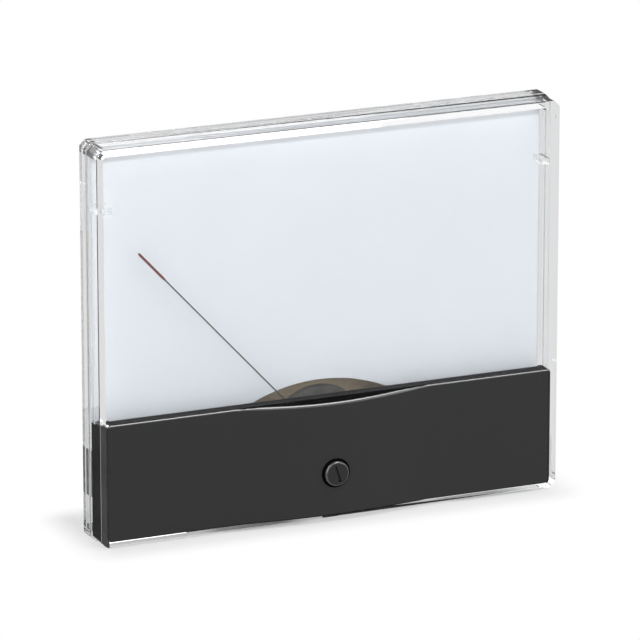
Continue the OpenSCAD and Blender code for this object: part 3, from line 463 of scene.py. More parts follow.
wetted_black = new_finish("wetted_black", (0.035, 0.035, 0.036), 0.8, Specular_IOR_Level=0.0)
vary_colour(wetted_black, [150.0], (0.036, 0.036, 0.037), (0.05, 0.05, 0.051))

edge_black = new_finish(
    "edge_black", (0.02, 0.02, 0.021), 0.22,
    Specular_IOR_Level=1.0, Coat_Weight=1.0, Coat_Roughness=0.12,
)
vary_rough(edge_black, [300.0], 0.18, 0.28)

cement_dark = new_finish("cement_dark", (0.06, 0.06, 0.062), 0.7)
vary_colour(cement_dark, [900.0, 4.0, (1.0, 0.4, 1.0)], (0.03, 0.03, 0.031), (0.1, 0.1, 0.103))

adjuster_black = new_finish("adjuster_black", (0.006, 0.006, 0.007), 0.28)
raise_grain(adjuster_black, [900.0], 0.00001, 0.3)
print("black plastics mixed")

# %% [markdown]
# The dial is sheet metal with a stoved enamel of a cold white. Enamel
# flows before it sets and keeps a faint orange peel. Over its top
# millimetre or two the enamel is blended to grey, a painted shadow along
# the top edge of the dial.

# %% Mix the enamel
# Painted shadow: from this height up the enamel is blended towards grey.
TOP_SHADE_FROM, TOP_SHADE_FULL = 43.5 * MM, 44.2 * MM
dial_white = new_finish("dial_white", (0.8, 0.84, 0.88), 0.38)
vary_colour(dial_white, [55.0, 2.0], (0.795, 0.834, 0.872), (0.812, 0.85, 0.885))
raise_grain(dial_white, [700.0], 0.000004, 0.25)

dt = dial_white.node_tree
dt_height = add(dt, "ShaderNodeSeparateXYZ", Vector=object_place(dt)).outputs["Z"]
dt_top_shade = map_range(dt, dt_height, TOP_SHADE_FROM, TOP_SHADE_FULL, to_high=0.7, smooth=True)
# The painted shadow's grey is mixed into the enamel here.
dt_shadow_mix = dt.nodes.new("ShaderNodeMix")
dt_shadow_mix.data_type = "RGBA"
dt_enamel = dt.nodes["Principled BSDF"].inputs["Base Color"].links[0].from_socket
feed_all(dt, dt_shadow_mix, {"Factor": dt_top_shade, "A": dt_enamel, "B": (0.5, 0.51, 0.53, 1.0)})
shade_with(dial_white, "Base Color", dt_shadow_mix.outputs["Result"])
print("enamel mixed")

# %% [markdown]
# The frame behind the dial is a pale grey moulding, whose mould was blasted
# to an even, fine matt skin. Its upward faces near the top lie right under
# the lamp above, and they get a painted shade, a darker grey.

# %% Mix the frame's plastic
frame_grey = new_finish("frame_grey", (0.7, 0.71, 0.72), 0.48)
vary_colour(frame_grey, [120.0], (0.68, 0.69, 0.7), (0.72, 0.73, 0.74))
vary_rough(frame_grey, [300.0], 0.42, 0.55)
raise_grain(frame_grey, [3200.0], 0.00002, 0.3)

# Painted shade: a darker grey for upward faces under the lamp above.
frame_shade = new_finish("frame_shade", (0.4, 0.405, 0.41), 0.6)
vary_colour(frame_shade, [260.0, 4.0, (1.0, 0.3, 1.0)], (0.3, 0.305, 0.31), (0.5, 0.505, 0.51))
print("frame plastic mixed")

# %% [markdown]
# The housing is a brown phenolic moulding filled with fibre, and the plate
# that carries the movement is paper laminate of an olive brown. In both,
# the filler shows as fine specks and streaks in the surface.

# %% Mix the phenolics
housing_brown = new_finish("housing_brown", (0.075, 0.052, 0.033), 0.42)
vary_colour(housing_brown, [1300.0, 6.0], (0.055, 0.037, 0.022), (0.1, 0.07, 0.046))
vary_rough(housing_brown, [90.0], 0.36, 0.5)
raise_grain(housing_brown, [2600.0], 0.00002, 0.3)

plate_brown = new_finish("plate_brown", (0.155, 0.125, 0.09), 0.5)
vary_colour(plate_brown, [900.0, 5.0, (0.25, 1.0, 1.0)], (0.33, 0.25, 0.145), (0.52, 0.4, 0.245))
vary_rough(plate_brown, [200.0], 0.42, 0.58)
print("phenolics mixed")

# %% [markdown]
# Metals: turned brass and zinc-plated steel carry lathe rings, the iron
# yoke and the magnet are ground, the frame is a dark zinc casting with a
# sandy skin, the springs and coil are drawn strip, sheet and wire.

# %% Mix the metals
METALS = {
    # finish: (colour, roughness)
    "brass": ((0.62, 0.43, 0.17), 0.3),
    "zinc_screws": ((0.58, 0.58, 0.55), 0.34),
    "pivot_steel": ((0.5, 0.51, 0.53), 0.2),
    "yoke_iron": ((0.22, 0.22, 0.23), 0.42),
    "spring_bronze": ((0.6, 0.42, 0.17), 0.3),
    "coil_aluminium": ((0.75, 0.76, 0.78), 0.35),
}
for name, (colour, rough) in METALS.items():
    metal = new_finish(name, colour, rough, 1.0)
    place = object_place(metal.node_tree)
    rings = add(
        metal.node_tree, "ShaderNodeTexWave", Vector=place, Scale=2400.0, Distortion=1.5, Detail=2.0
    )
    rings.bands_direction = "Y"
    vary_rough(metal, rings.outputs["Fac"], rough - 0.07, rough + 0.1)
    raise_grain(metal, rings.outputs["Fac"], 0.000006, 0.3)

magnet_steel = new_finish("magnet_steel", (0.1, 0.1, 0.11), 0.45, 1.0)
vary_rough(magnet_steel, [1500.0, 2.0, (1.0, 0.1, 1.0)], 0.35, 0.55)

frame_zinc = new_finish("frame_zinc", (0.16, 0.155, 0.14), 0.55, 0.7)
vary_colour(frame_zinc, [400.0, 4.0], (0.12, 0.115, 0.1), (0.2, 0.19, 0.17))
raise_grain(frame_zinc, [1800.0], 0.00003, 0.4)

copper_wire = new_finish("copper_wire", (0.35, 0.11, 0.04), 0.28, 0.85)
vary_rough(copper_wire, [3000.0], 0.2, 0.38)
print(len(METALS) + 3, "metals mixed")

# %% [markdown]
# The pointer is blackened aluminium whose last few millimetres are painted
# dark red. The border is a ring round the movement's axis, so the distance
# from that axis picks the colour, and it stays right when the pointer turns.

# %% Mix the pointer's paint
AXIS_Z = -18.5                        # mm, like the next two
TIP_START, TIP_BLEND = 50.9, 0.3

pointer_paint = new_finish("pointer_paint", (0.05, 0.05, 0.055), 0.4)
pt = pointer_paint.node_tree
from_axis = vector_node(pt, "SUBTRACT", object_place(pt), (0.0, 0.0, AXIS_Z * MM))
reach = vector_node(pt, "LENGTH", vector_node(pt, "MULTIPLY", from_axis, (1.0, 0.0, 1.0)))
at_tip = map_range(pt, reach, TIP_START * MM, (TIP_START + TIP_BLEND) * MM)
vary_colour(pointer_paint, at_tip, (0.045, 0.045, 0.05), (0.15, 0.012, 0.018), 0.0, 1.0)
raise_grain(pointer_paint, [4000.0], 0.000005, 0.3)
print("pointer paint turns red", TIP_START, "mm from the axis")

# %% Mix the jewels and the wire insulation
jewel_red = new_finish("jewel_red", (0.45, 0.01, 0.04), 0.08)
vary_rough(jewel_red, [1500.0], 0.05, 0.12)

lead_red = new_finish("lead_red", (0.42, 0.02, 0.015), 0.4)
lead_black = new_finish("lead_black", (0.02, 0.02, 0.022), 0.4)
for sleeve in (lead_red, lead_black):
    vary_rough(sleeve, [700.0], 0.32, 0.48)
    raise_grain(sleeve, [2500.0], 0.00001, 0.3)
print("jewels and insulation mixed")

# %% [markdown]
# Each solid of the frame has a material slot in the record, and the slots
# have the finishes' names. Solids that a dressed piece replaces later keep
# their finish too.

# %% Hand out the finishes
slot_of = {row["node"]: row["material_slot"] for row in frame["record"]["subparts"]}


def wear(piece, finish):
    """The piece has this finish and no other."""
    piece.data.materials.clear()
    piece.data.materials.append(finish)


for name, node in nodes.items():
    wear(node, finishes[slot_of[name]])
print(len(slot_of), "solids finished with", len(set(slot_of.values())), "finishes")

# %% [markdown]
# ## Dressed copies
#
# A moulded or machined piece never has a razor edge: light catches a small
# round along every corner, and clear plastic shows its form mainly by those
# bright lines. The solids' meshes are loose triangles, so a copy is merged,
# its flat faces are joined again, and then a Bevel modifier rounds each edge
# that is sharper than 25 degrees. Weighted normals keep the large faces flat
# and leave all the turning to the rounds.

# %% Helpers for dressed copies


class Opened:
    """A mesh opened as a bmesh for one with block, and written back after it."""

    def __init__(self, mesh):
        self.mesh, self.bm = mesh, bmesh.new()

    def __enter__(self):
        self.bm.from_mesh(self.mesh)
        return self.bm

    def __exit__(self, *_):
        self.bm.to_mesh(self.mesh)
        self.bm.free()


def merged_copy(node_name, piece_name):
    """A copy of a solid with its loose triangles joined into whole faces."""
    mesh = nodes[node_name].data.copy()
    mesh.name = piece_name
    with Opened(mesh) as bm:
        bmesh.ops.remove_doubles(bm, verts=bm.verts, dist=0.000002)
        bmesh.ops.dissolve_limit(
            bm, angle_limit=math.radians(1.0), verts=bm.verts, edges=bm.edges, delimit={"NORMAL"}
        )
    return linked(piece_name, mesh)


def baked(piece):
    """Applies the piece's modifiers, so that its mesh is final."""
    bpy.context.view_layer.update()
    graph = bpy.context.evaluated_depsgraph_get()
    mesh = bpy.data.meshes.new_from_object(piece.evaluated_get(graph))
    mesh.name = piece.name
    piece.modifiers.clear()
    piece.data = mesh
    return piece


def smooth(piece):
    """Shades every face of the piece smooth."""
    for face in piece.data.polygons:
        face.use_smooth = True


def rounded(piece, radius, segments=3, angle=25.0, pick=None):
    """Rounds the piece's edges by a radius in millimetres.

    With pick, a test of an edge's middle in millimetres, an edge is rounded by
    the share of the radius that it gives, and at 0 it stays sharp. Without it,
    the radius gives way where edges crowd together.
    """
    smooth(piece)
    bevel = piece.modifiers.new("round", "BEVEL")
    bevel.width = radius * MM
    bevel.segments = segments
    if pick:
        with Opened(piece.data) as bm:
            weight = bm.edges.layers.float.new("bevel_weight_edge")
            for edge in bm.edges:
                middle = (edge.verts[0].co + edge.verts[1].co) / 2 / MM
                sharp = len(edge.link_faces) == 2 and edge.calc_face_angle() > math.radians(angle)
                edge[weight] = float(pick(middle)) if sharp else 0.0
                edge.smooth = not sharp or edge[weight] > 0.0
        bevel.limit_method = "WEIGHT"
        bevel.use_clamp_overlap = False
    else:
        bevel.limit_method = "ANGLE"
        bevel.angle_limit = math.radians(angle)
    even = piece.modifiers.new("even", "WEIGHTED_NORMAL")
    even.weight = 100
    even.keep_sharp = True
    return baked(piece)


def box_faces(bm, x0, y0, z0, x1, y1, z1):
    """Adds a closed box, given in millimetres, to a bmesh."""
    ring = ((x0, y0), (x1, y0), (x1, y1), (x0, y1))
    corners = [bm.verts.new(mm(x, y, z)) for z in (z0, z1) for x, y in ring]
    for side in ("3210", "4567", "0154", "1265", "2376", "3047"):
        bm.faces.new([corners[int(i)] for i in side])


def prism_faces(bm, near, far):
    """Adds a closed solid between two outlines of points in millimetres."""
    near, far = [bm.verts.new(mm(*p)) for p in near], [bm.verts.new(mm(*p)) for p in far]
    bm.faces.new(near)
    bm.faces.new(far[::-1])
    for i in range(len(near)):
        bm.faces.new((near[i - 1], far[i - 1], far[i], near[i]))


def settle(piece, body, slot, *replaced):
    """The piece gets its finish, rides on its body and stands for its solids."""
    wear(piece, finishes[slot])
    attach(piece, body)
    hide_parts(*replaced)
    print(piece.name, "has", len(piece.data.vertices), "vertices")


def paint_faces(piece, pick, *more):
    """Gives the piece more finishes, and each face the one whose number pick gives."""
    for finish in more:
        piece.data.materials.append(finish)
    for face in piece.data.polygons:
        face.material_index = int(pick(face))


print("helpers for dressed copies ready")

# %% [markdown]
# ## Clear cover
#
# The cover is one moulding: the window pane, its walls, and a rear rim that
# stands out a little. Its outer edges get a radius of 0.22 mm, the front's
# left edge a smaller one, and the inner edges stay sharp.

# %% Dress the cover
COVER_ROUND, COVER_SHARE = 0.22, 0.25


def cover_edge(p):
    """How round the cover's edge is at a point in mm: 1 is the full radius."""
    if p.x < -49.5 and p.y < -8.5 and abs(p.z) < 40:
        return COVER_SHARE
    return 1.0 if abs(p.x) > 48.4 or p.z > 46.4 or p.z < -33.4 else 0.0


cover = merged_copy("front_cover", "clear_cover")
cover = rounded(cover, COVER_ROUND, pick=cover_edge)
settle(cover, "case", "clear_plastic", "front_cover")

# %% [markdown]
# Two beads of dark cement hold the cover to the frame in its upper corners.
# They wet the clear corner, so the cut corners in front of them look dark.
# Two short runs lie in the gap beside the frame, and a dab in each lower
# corner.

# %% Lay the beads of cement
BEAD_X, BEAD_Z, BEAD_OUT, BEAD_FRONT, BEAD_BACK = 47.2, 45.2, 0.82, -5.2, -0.6
BEAD_SKIRT, ARC_STEPS = 0.1, 8
RUN_LOW, RUN_TOP, RUN_FRONT, RUN_IN = -25.0, -15.5, -2.4, 47.5
DAB_LOW, DAB_TOP, DAB_FRONT, DAB_IN = -32.6, -31.2, -1.8, 46.6
CEMENT_OUT, CEMENT_BACK = 48.02, -0.15

arc = [math.pi / 2 * i / ARC_STEPS for i in range(ARC_STEPS + 1)]
bead = [(BEAD_X - BEAD_SKIRT, BEAD_Z + BEAD_OUT - 0.25)]
bead += [(BEAD_X + BEAD_OUT * math.sin(t), BEAD_Z + BEAD_OUT * math.cos(t)) for t in arc]
bead += [(BEAD_X + BEAD_OUT - 0.25, BEAD_Z - BEAD_SKIRT)]
beads = linked("corner_cement", bpy.data.meshes.new("corner_cement"))
with Opened(beads.data) as bm:
    for side in (-1, 1):
        prism_faces(bm, *([(side * x, y, z) for x, z in bead] for y in (BEAD_FRONT, BEAD_BACK)))
        for inner, front, low, top in (
            (RUN_IN, RUN_FRONT, RUN_LOW, RUN_TOP),
            (DAB_IN, DAB_FRONT, DAB_LOW, DAB_TOP),
        ):
            x0, x1 = sorted((side * inner, side * CEMENT_OUT))
            box_faces(bm, x0, front, low, x1, CEMENT_BACK, top)
    bmesh.ops.recalc_face_normals(bm, faces=bm.faces)
wear(beads, cement_dark)
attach(beads, "case")
print("beads:", len(beads.data.polygons), "faces")

# %% [markdown]
# ## Lower mask
#
# The mask sits in the cover's pocket. On the left and under the window it is
# pressed against the clear walls and wets them, so it shows black through
# them. On the right and below, a hair of air stays between the two, and the
# walls keep their glassy look. The left wall also has a thin foot that goes
# down to the cover's bottom, and its upper rear corner is filled out. The
# face stands a little proud of the window towards both ends.
# Faces that look up along its top are the ledge, with its painted shade, and
# the narrow faces that turn between the ledge and the front or the back are
# its polished edges. The rounds at the right and below and the adjuster's
# recess get the same painted shade as the ledge.

# %% Dress the mask
BITE, AIR, PROUD, DEEPER = 0.02 * MM, 0.05 * MM, 0.4 * MM, 0.78 * MM
BULGE_HALF = 20.7 * MM
FACE_Y, REAR_Y, LEFT_X, RIGHT_X = -8.9 * MM, -4.01 * MM, -48.15 * MM, 48.0 * MM
LUG_TOP, LUG_HALF, LUG_FRONT, LUG_GAP = -32.8 * MM, 1.6 * MM, -7.0 * MM, 0.17 * MM
WALL_OUT, WALL_IN, WALL_BACK = -48.22, -47.9, -3.22       # mm, like all that follow
LEDGE_BACK, RECESS, RECESS_EDGE, LOW_ROUND = -5.7, 3.2, 6.0, -32.4
ADJUSTER_Z = -23.75
PAINTED_SHADE, EDGE, WETTED = 1, 2, 3
mask_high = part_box("lower_mask")[1][2]

mask = merged_copy("lower_mask", "lower_mask_moulding")
for vertex in mask.data.vertices:
    place = vertex.co
    if place.y < FACE_Y:
        reach = min(1.0, abs(place.x) / BULGE_HALF)
        place.y -= PROUD * (1.0 - math.cos(math.pi / 2 * reach))
    if place.z > mask_high - 0.01 * MM:
        place.z += BITE
    if place.x < LEFT_X:
        place.x -= BITE
        if place.y > REAR_Y:
            place.y += DEEPER
    if place.z < LUG_TOP and abs(place.x) < LUG_HALF:
        place.z -= LUG_GAP
        place.y -= LUG_GAP if place.y < LUG_FRONT else 0.0
    if place.x > RIGHT_X:
        place.x -= AIR


def from_adjuster(p):
    """How far a point in millimetres is from the adjuster's axis."""
    return math.hypot(p.x, p.z - ADJUSTER_Z)


def on_mask_rim(p):
    """True on the rim of the mask's face but for its left edge, and along the ledge's rear edge."""
    on_face = p.y < -8.95 and from_adjuster(p) > RECESS_EDGE and p.x > WALL_IN
    return on_face or (p.z > mask_high / MM - 0.1 and abs(p.y - LEDGE_BACK) < 0.1)


# The ledge, the right and lower rounds and the recess get the painted shade.
def mask_finish(face):
    """The number of a mask face's finish."""
    p, n = face.center / MM, face.normal
    if p.z > mask_high / MM - 1.4:
        if n.z > 0.87:
            return PAINTED_SHADE
        if n.z > 0.2 and abs(n.x) < 0.6:
            return EDGE
    if n.x < -0.9 and p.x < -48.0:
        return WETTED
    right_round = p.x > 47.2 and n.x > 0.35
    low_round = abs(p.z - LOW_ROUND) < 0.6 and n.z < -0.35
    if p.y < -7.5 and (right_round or low_round):
        return PAINTED_SHADE
    corners = (mask.data.vertices[v].co / MM for v in face.vertices)
    return PAINTED_SHADE if all(from_adjuster(c) < RECESS for c in corners) else 0


mask = rounded(mask, 0.42, segments=4, pick=on_mask_rim)
with Opened(mask.data) as bm:
    box_faces(bm, WALL_OUT, -8.92, -33.8, WALL_IN, WALL_BACK, -32.0)      # the foot
    box_faces(bm, WALL_OUT, -5.3, -11.8, WALL_IN, WALL_BACK, -9.2)        # the upper rear corner
settle(mask, "case", "mask_black", "lower_mask")
paint_faces(mask, mask_finish, painted_shade_black, edge_black, wetted_black)

# %% [markdown]
# ## Zero adjuster
#
# The adjuster's head sits in a shallow recess of the mask, a little smaller
# and less proud than its solid. Its rim is well rounded and catches the
# small lamp. The slot's edges are a little round as well, and the faces
# deep behind the head's front get a painted shade, flat black.

# %% Dress the adjuster
KNOB_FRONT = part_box("zero_adjuster")[0][1]
KNOB_SUNK, KNOB_SHARE = 0.4 * MM, 0.965

adjuster = merged_copy("zero_adjuster", "zero_adjuster_knob")
for vertex in adjuster.data.vertices:
    place = vertex.co
    if place.y < KNOB_FRONT + 1.0 * MM:
        place.y += KNOB_SUNK
        place.x *= KNOB_SHARE
        place.z = ADJUSTER_Z * MM + (place.z - ADJUSTER_Z * MM) * KNOB_SHARE


def knob_edge(p):
    """1 on the rim of the knob's head, and less along its slot."""
    return 1.0 if from_adjuster(p) > 2.4 else 0.3


def knob_finish(face):
    """The number of a knob face's finish: painted shade deep in, the rim, or neither."""
    if face.center.y > KNOB_FRONT + 1.02 * MM:
        return 1
    return 2 if from_adjuster(face.center / MM) > 2.3 and -0.98 < face.normal.y < -0.05 else 0


adjuster = rounded(adjuster, 0.26, angle=32.0, pick=knob_edge)
settle(adjuster, "zero_adjuster", "adjuster_black", "zero_adjuster")
# The knob's deep faces get the painted shade.
paint_faces(adjuster, knob_finish, painted_shade_black, edge_black)

# %% [markdown]
# ## Dial
#
# The dial was blanked from sheet with its cut-out for the movement, and then
# enamelled, so its corners are softly round and the enamel wraps round them.
# The cut edge of the arch stands about half a millimetre higher and further
# left than in the solid, where the lens sees it through the bent light of
# the window.

# %% Dress the dial
ARCH_LOW, ARCH_TOP, ARCH_HALF = -14.0 * MM, -4.0 * MM, 17.2 * MM
ARCH_UP, ARCH_LEFT = 0.45 * MM, 0.6 * MM

dial = merged_copy("dial_plate", "dial_sheet")
dial = rounded(dial, 0.12, segments=2, angle=40.0)
for vertex in dial.data.vertices:
    place = vertex.co
    if abs(place.x) < ARCH_HALF and ARCH_LOW < place.z < ARCH_TOP:
        place.z += ARCH_UP
        place.x -= ARCH_LEFT
settle(dial, "case", "dial_white", "dial_plate")

# %% [markdown]
# ## Base frame
#
# The pale frame lies behind the dial. A raised bed runs round its edge, up
# to the back of the dial and close to the cover's walls, and it is what
# shows through the clear walls as a light grey band.

# %% Dress the base frame
BED_OUT, BED_TOP, BED_LOW, BED_WIDTH = 47.8, 45.8, -31.7, 3.0
BED_FRONT, BED_BACK = -2.79, -1.99
BED_IN = BED_OUT - BED_WIDTH

base = merged_copy("base_frame", "base_frame_moulding")
with Opened(base.data) as bm:
    box_faces(bm, -BED_OUT, BED_FRONT, BED_LOW, -BED_IN, BED_BACK, BED_TOP)
    box_faces(bm, BED_IN, BED_FRONT, BED_LOW, BED_OUT, BED_BACK, BED_TOP)
    box_faces(bm, -BED_IN, BED_FRONT, BED_TOP - BED_WIDTH, BED_IN, BED_BACK, BED_TOP)
base = rounded(base, 0.15, segments=2)
settle(base, "case", "frame_grey", "base_frame")
# The frame's upward faces near the top get the painted shade.
paint_faces(base, lambda face: face.normal.z > 0.5 and face.center.z > 44.0 * MM, frame_shade)

# %% [markdown]
# ## Threads
#
# Four M3 studs hold the meter to the panel and two M5 studs are its
# terminals. A thread is one groove that climbs by its pitch in each turn. It
# could be swept along a spiral, but sweeps leave open ends. Here a closed
# tube of rings is pressed in instead: at height z and angle a, the depth
# follows a triangle wave of z / pitch - a / 360 degrees, so one formula makes
# the helix. Towards its free ends the thread gets shallow, as a cut thread
# does.

# %% Helpers for Geometry Nodes


def new_tree(name, **inputs):
    """A node group for geometry with named inputs: its tree, input sockets and output node."""
    tree = bpy.data.node_groups.new(name, "GeometryNodeTree")
    tree.interface.new_socket("Geometry", in_out="INPUT", socket_type="NodeSocketGeometry")
    tree.interface.new_socket("Geometry", in_out="OUTPUT", socket_type="NodeSocketGeometry")
    for label, kind in inputs.items():
        tree.interface.new_socket(label, in_out="INPUT", socket_type="NodeSocket" + kind)
    return tree, tree.nodes.new("NodeGroupInput").outputs, tree.nodes.new("NodeGroupOutput")


def send_out(tree, copies, finish, group_out):
    """Makes a tree's copies real, gives them their finish and sends them out."""
    whole = add(tree, "GeometryNodeRealizeInstances", Geometry=copies.outputs["Instances"])
    coat = add(tree, "GeometryNodeSetMaterial", Geometry=whole.outputs["Geometry"], Material=finish)
    tree.links.new(coat.outputs["Geometry"], group_out.inputs["Geometry"])


def run_tree(piece, tree, **values):
    """Runs a tree on a piece, each input set by its socket's identifier, and bakes it."""
    grow = piece.modifiers.new(tree.name, "NODES")
    grow.node_group = tree
    for item in tree.interface.items_tree:
        if item.in_out == "INPUT" and item.name in values:
            grow[item.identifier] = values[item.name]
    return baked(piece)


def drawn_piece(name, points, edges=()):
    """An object whose mesh is only points and edges, for a tree to work on."""
    mesh = bpy.data.meshes.new(name)
    mesh.from_pydata(points, edges, [])
    return linked(name, mesh)


print("helpers for trees ready")

# %% Build the thread's tree
STEPS = 8.0                           # rings in one pitch
SIDES = 36                            # corners of one ring
STEEP, CREST = 1.3, -0.12             # steepen the wave, for flat crests and roots

thread_tree, asked, t_out = new_tree(
    "cut_thread", Radius="Float", Pitch="Float", Depth="Float", Length="Float", Finish="Material"
)


def t_math(operation, *values):
    """A Math node of the thread's tree."""
    return math_node(thread_tree, operation, *values)


rings = t_math("MULTIPLY", t_math("DIVIDE", asked["Length"], asked["Pitch"]), STEPS)
whole_rings = add(thread_tree, "FunctionNodeFloatToInt", Float=rings).outputs[0]
tube = add(
    thread_tree, "GeometryNodeMeshCylinder", Vertices=SIDES, Side_Segments=whole_rings,
    Radius=asked["Radius"], Depth=asked["Length"],
)

place = thread_tree.nodes.new("GeometryNodeInputPosition").outputs[0]
axes = add(thread_tree, "ShaderNodeSeparateXYZ", Vector=place).outputs
turn = t_math("DIVIDE", t_math("ARCTAN2", axes["Y"], axes["X"]), 2 * math.pi)
climb = t_math("FRACT", t_math("SUBTRACT", t_math("DIVIDE", axes["Z"], asked["Pitch"]), turn))
wave = t_math("ABSOLUTE", t_math("MULTIPLY_ADD", climb, 2.0, -1.0))
flank = t_math("MINIMUM", t_math("MAXIMUM", t_math("MULTIPLY_ADD", wave, STEEP, CREST), 0.0), 1.0)
half = t_math("MULTIPLY", asked["Length"], 0.5)
to_end = t_math("DIVIDE", t_math("SUBTRACT", half, t_math("ABSOLUTE", axes["Z"])), asked["Pitch"])
run_out = t_math("MAXIMUM", t_math("SUBTRACT", 1.0, to_end), 0.0)
pressed = t_math("MULTIPLY", t_math("MAXIMUM", flank, run_out), asked["Depth"])
flat = vector_node(thread_tree, "MULTIPLY", place, (1.0, 1.0, 0.0))
outward = vector_node(thread_tree, "NORMALIZE", flat)
inward = vector_node(thread_tree, "MULTIPLY", outward, t_math("MULTIPLY", pressed, -1.0))
press = add(thread_tree, "GeometryNodeSetPosition", Geometry=tube.outputs["Mesh"], Offset=inward)

copies = add(
    thread_tree, "GeometryNodeInstanceOnPoints", Points=asked["Geometry"],
    Instance=press.outputs["Geometry"], Rotation=(-math.pi / 2, 0.0, 0.0),
)
send_out(thread_tree, copies, asked["Finish"], t_out)
print("thread tree has", len(thread_tree.nodes), "nodes")

# %% [markdown]
# The plain studs are copied and their shanks turned down to the thread's
# root, as a lathe would leave them, and the thread is laid round each. It
# stops a little short of the stud's end, where the chamfer begins.

# %% Dress the studs


def turn_down(piece, centres, y_from, root):
    """Shrinks the shanks behind y_from round their axes to the root radius in mm."""
    for vertex in piece.data.vertices:
        place = vertex.co
        if place.y < y_from * MM:
            continue
        axes = ((x * MM, z * MM) for x, z in centres)
        cx, cz = min(axes, key=lambda c: math.hypot(place.x - c[0], place.z - c[1]))
        dx, dz = place.x - cx, place.z - cz
        reach = math.hypot(dx, dz)
        if reach > root * MM:
            place.x = cx + dx * root * MM / reach
            place.z = cz + dz * root * MM / reach


def threads(name, centres, y0, y1, radius, pitch, depth, slot):
    """Threads on every centre, from y0 to y1, all in millimetres."""
    piece = drawn_piece(name, [mm(x, (y0 + y1) / 2, z) for x, z in centres])
    run_tree(
        piece, thread_tree, Radius=radius * MM, Pitch=pitch * MM, Depth=depth * MM,
        Length=(y1 - y0) * MM, Finish=finishes[slot],
    )
    for face in piece.data.polygons:
        face.use_smooth = len(face.vertices) == 4
    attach(piece, "case")
    return piece


FOOT_RADIUS = 2.7                     # of a stud's foot, which reaches its box, mm
stud_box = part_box("mounting_studs")
STUD_X = (stud_box[1][0] - stud_box[0][0]) / 2 / MM - FOOT_RADIUS
STUD_LOW, STUD_HIGH = stud_box[0][2] / MM + FOOT_RADIUS, stud_box[1][2] / MM - FOOT_RADIUS
STUD_CENTRES = [(x, z) for x in (-STUD_X, STUD_X) for z in (STUD_LOW, STUD_HIGH)]
studs = merged_copy("mounting_studs", "mounting_stud_blanks")
turn_down(studs, STUD_CENTRES, 0.02, 1.19)
studs = rounded(studs, 0.08, segments=2, angle=30.0)
settle(studs, "case", "zinc_screws", "mounting_studs")
stud_threads = threads(
    "mounting_stud_threads", STUD_CENTRES, 0.4, 11.75, 1.5, 0.5, 0.31, "zinc_screws"
)

TERMINAL_CENTRES = [(-14.0, 12.0), (14.0, 12.0)]
posts = merged_copy("terminal_studs", "terminal_stud_blanks")
turn_down(posts, TERMINAL_CENTRES, 22.0, 2.01)
posts = rounded(posts, 0.12, segments=2, angle=30.0)
settle(posts, "case", "brass", "terminal_studs")
post_threads = threads(
    "terminal_stud_threads", TERMINAL_CENTRES, 25.2, 38.7, 2.5, 0.8, 0.49, "brass"
)
print("threads:", len(stud_threads.data.polygons), "and", len(post_threads.data.polygons), "faces")

# %% [markdown]
# ## Nuts, washers and small hardware
#
# Pressed and turned parts all have small rounds, each of its own size: a
# stamped washer has a rolled edge, a nut its chamfers, a jewel screw almost
# none. One table holds them, and each row becomes a dressed copy.

# %% Dress the small hardware
bodies = frame["record"]["behaviour"]["bodies"]
body_of = {node: body for body, group in bodies.items() for node in group}
HARDWARE = {
    # solid: (piece, round in mm)
    "terminal_washers": ("terminal_flat_washers", 0.16),
    "terminal_nuts": ("terminal_inner_nuts", 0.14),
    "terminal_lugs": ("terminal_solder_tags", 0.14),
    "lock_washers": ("terminal_lock_rings", 0.16),
    "terminal_outer_nuts": ("terminal_clamp_nuts", 0.14),
    "dial_screws": ("dial_screws_dressed", 0.12),
    "plate_screws": ("plate_screws_dressed", 0.14),
    "movement_screws": ("movement_screws_dressed", 0.1),
    "front_jewel_screw": ("front_jewel_screw_dressed", 0.06),
    "rear_jewel_screw": ("rear_jewel_screw_dressed", 0.06),
    "front_lock_nut": ("front_lock_nut_dressed", 0.08),
    "rear_lock_nut": ("rear_lock_nut_dressed", 0.08),
    "balance_weights": ("balance_nuts", 0.08),
    "pointer_stops": ("pointer_stop_pins", 0.08),
    "pointer": ("pointer_vane", 0.04),
    "coil_former": ("coil_bobbin", 0.06),
    "front_frame": ("front_bridge_casting", 0.25),
    "rear_bridge": ("rear_bridge_casting", 0.25),
    "yoke_ring": ("yoke_ring_turned", 0.25),
    "core_magnet": ("core_magnet_ground", 0.15),
    "core_spacers": ("core_spacer_blocks", 0.12),
    "movement_plate": ("movement_plate_cut", 0.1),
    "zero_lever": ("zero_lever_pressing", 0.06),
}
for node, (piece_name, radius) in HARDWARE.items():
    segments = 3 if radius > 0.2 else 2
    piece = rounded(merged_copy(node, piece_name), radius, segments=segments, angle=30.0)
    settle(piece, body_of[node], slot_of[node], node)
print(len(HARDWARE), "pieces of hardware dressed")

# %% [markdown]
# ## Coil
#
# The winding is one long enamelled wire, laid turn by turn on the
# aluminium bobbin. Each turn is a rounded rectangle. A tree makes one turn
# from the piece's own outline and sets copies of it side by side, in two
# layers that are half a wire apart along the row. The coil leans with the
# pointer at rest.

# %% Wind the coil
WIRE = 0.16                                  # wire with its enamel, mm
COIL_HALF, COIL_FRONT, COIL_BACK = 6.95, -0.85, 10.35
LEAN = math.radians(-42.5)
LAYERS = ((WIRE / 2, 15), (WIRE * 1.4, 14))  # how far in from the bobbin's edge, and turns

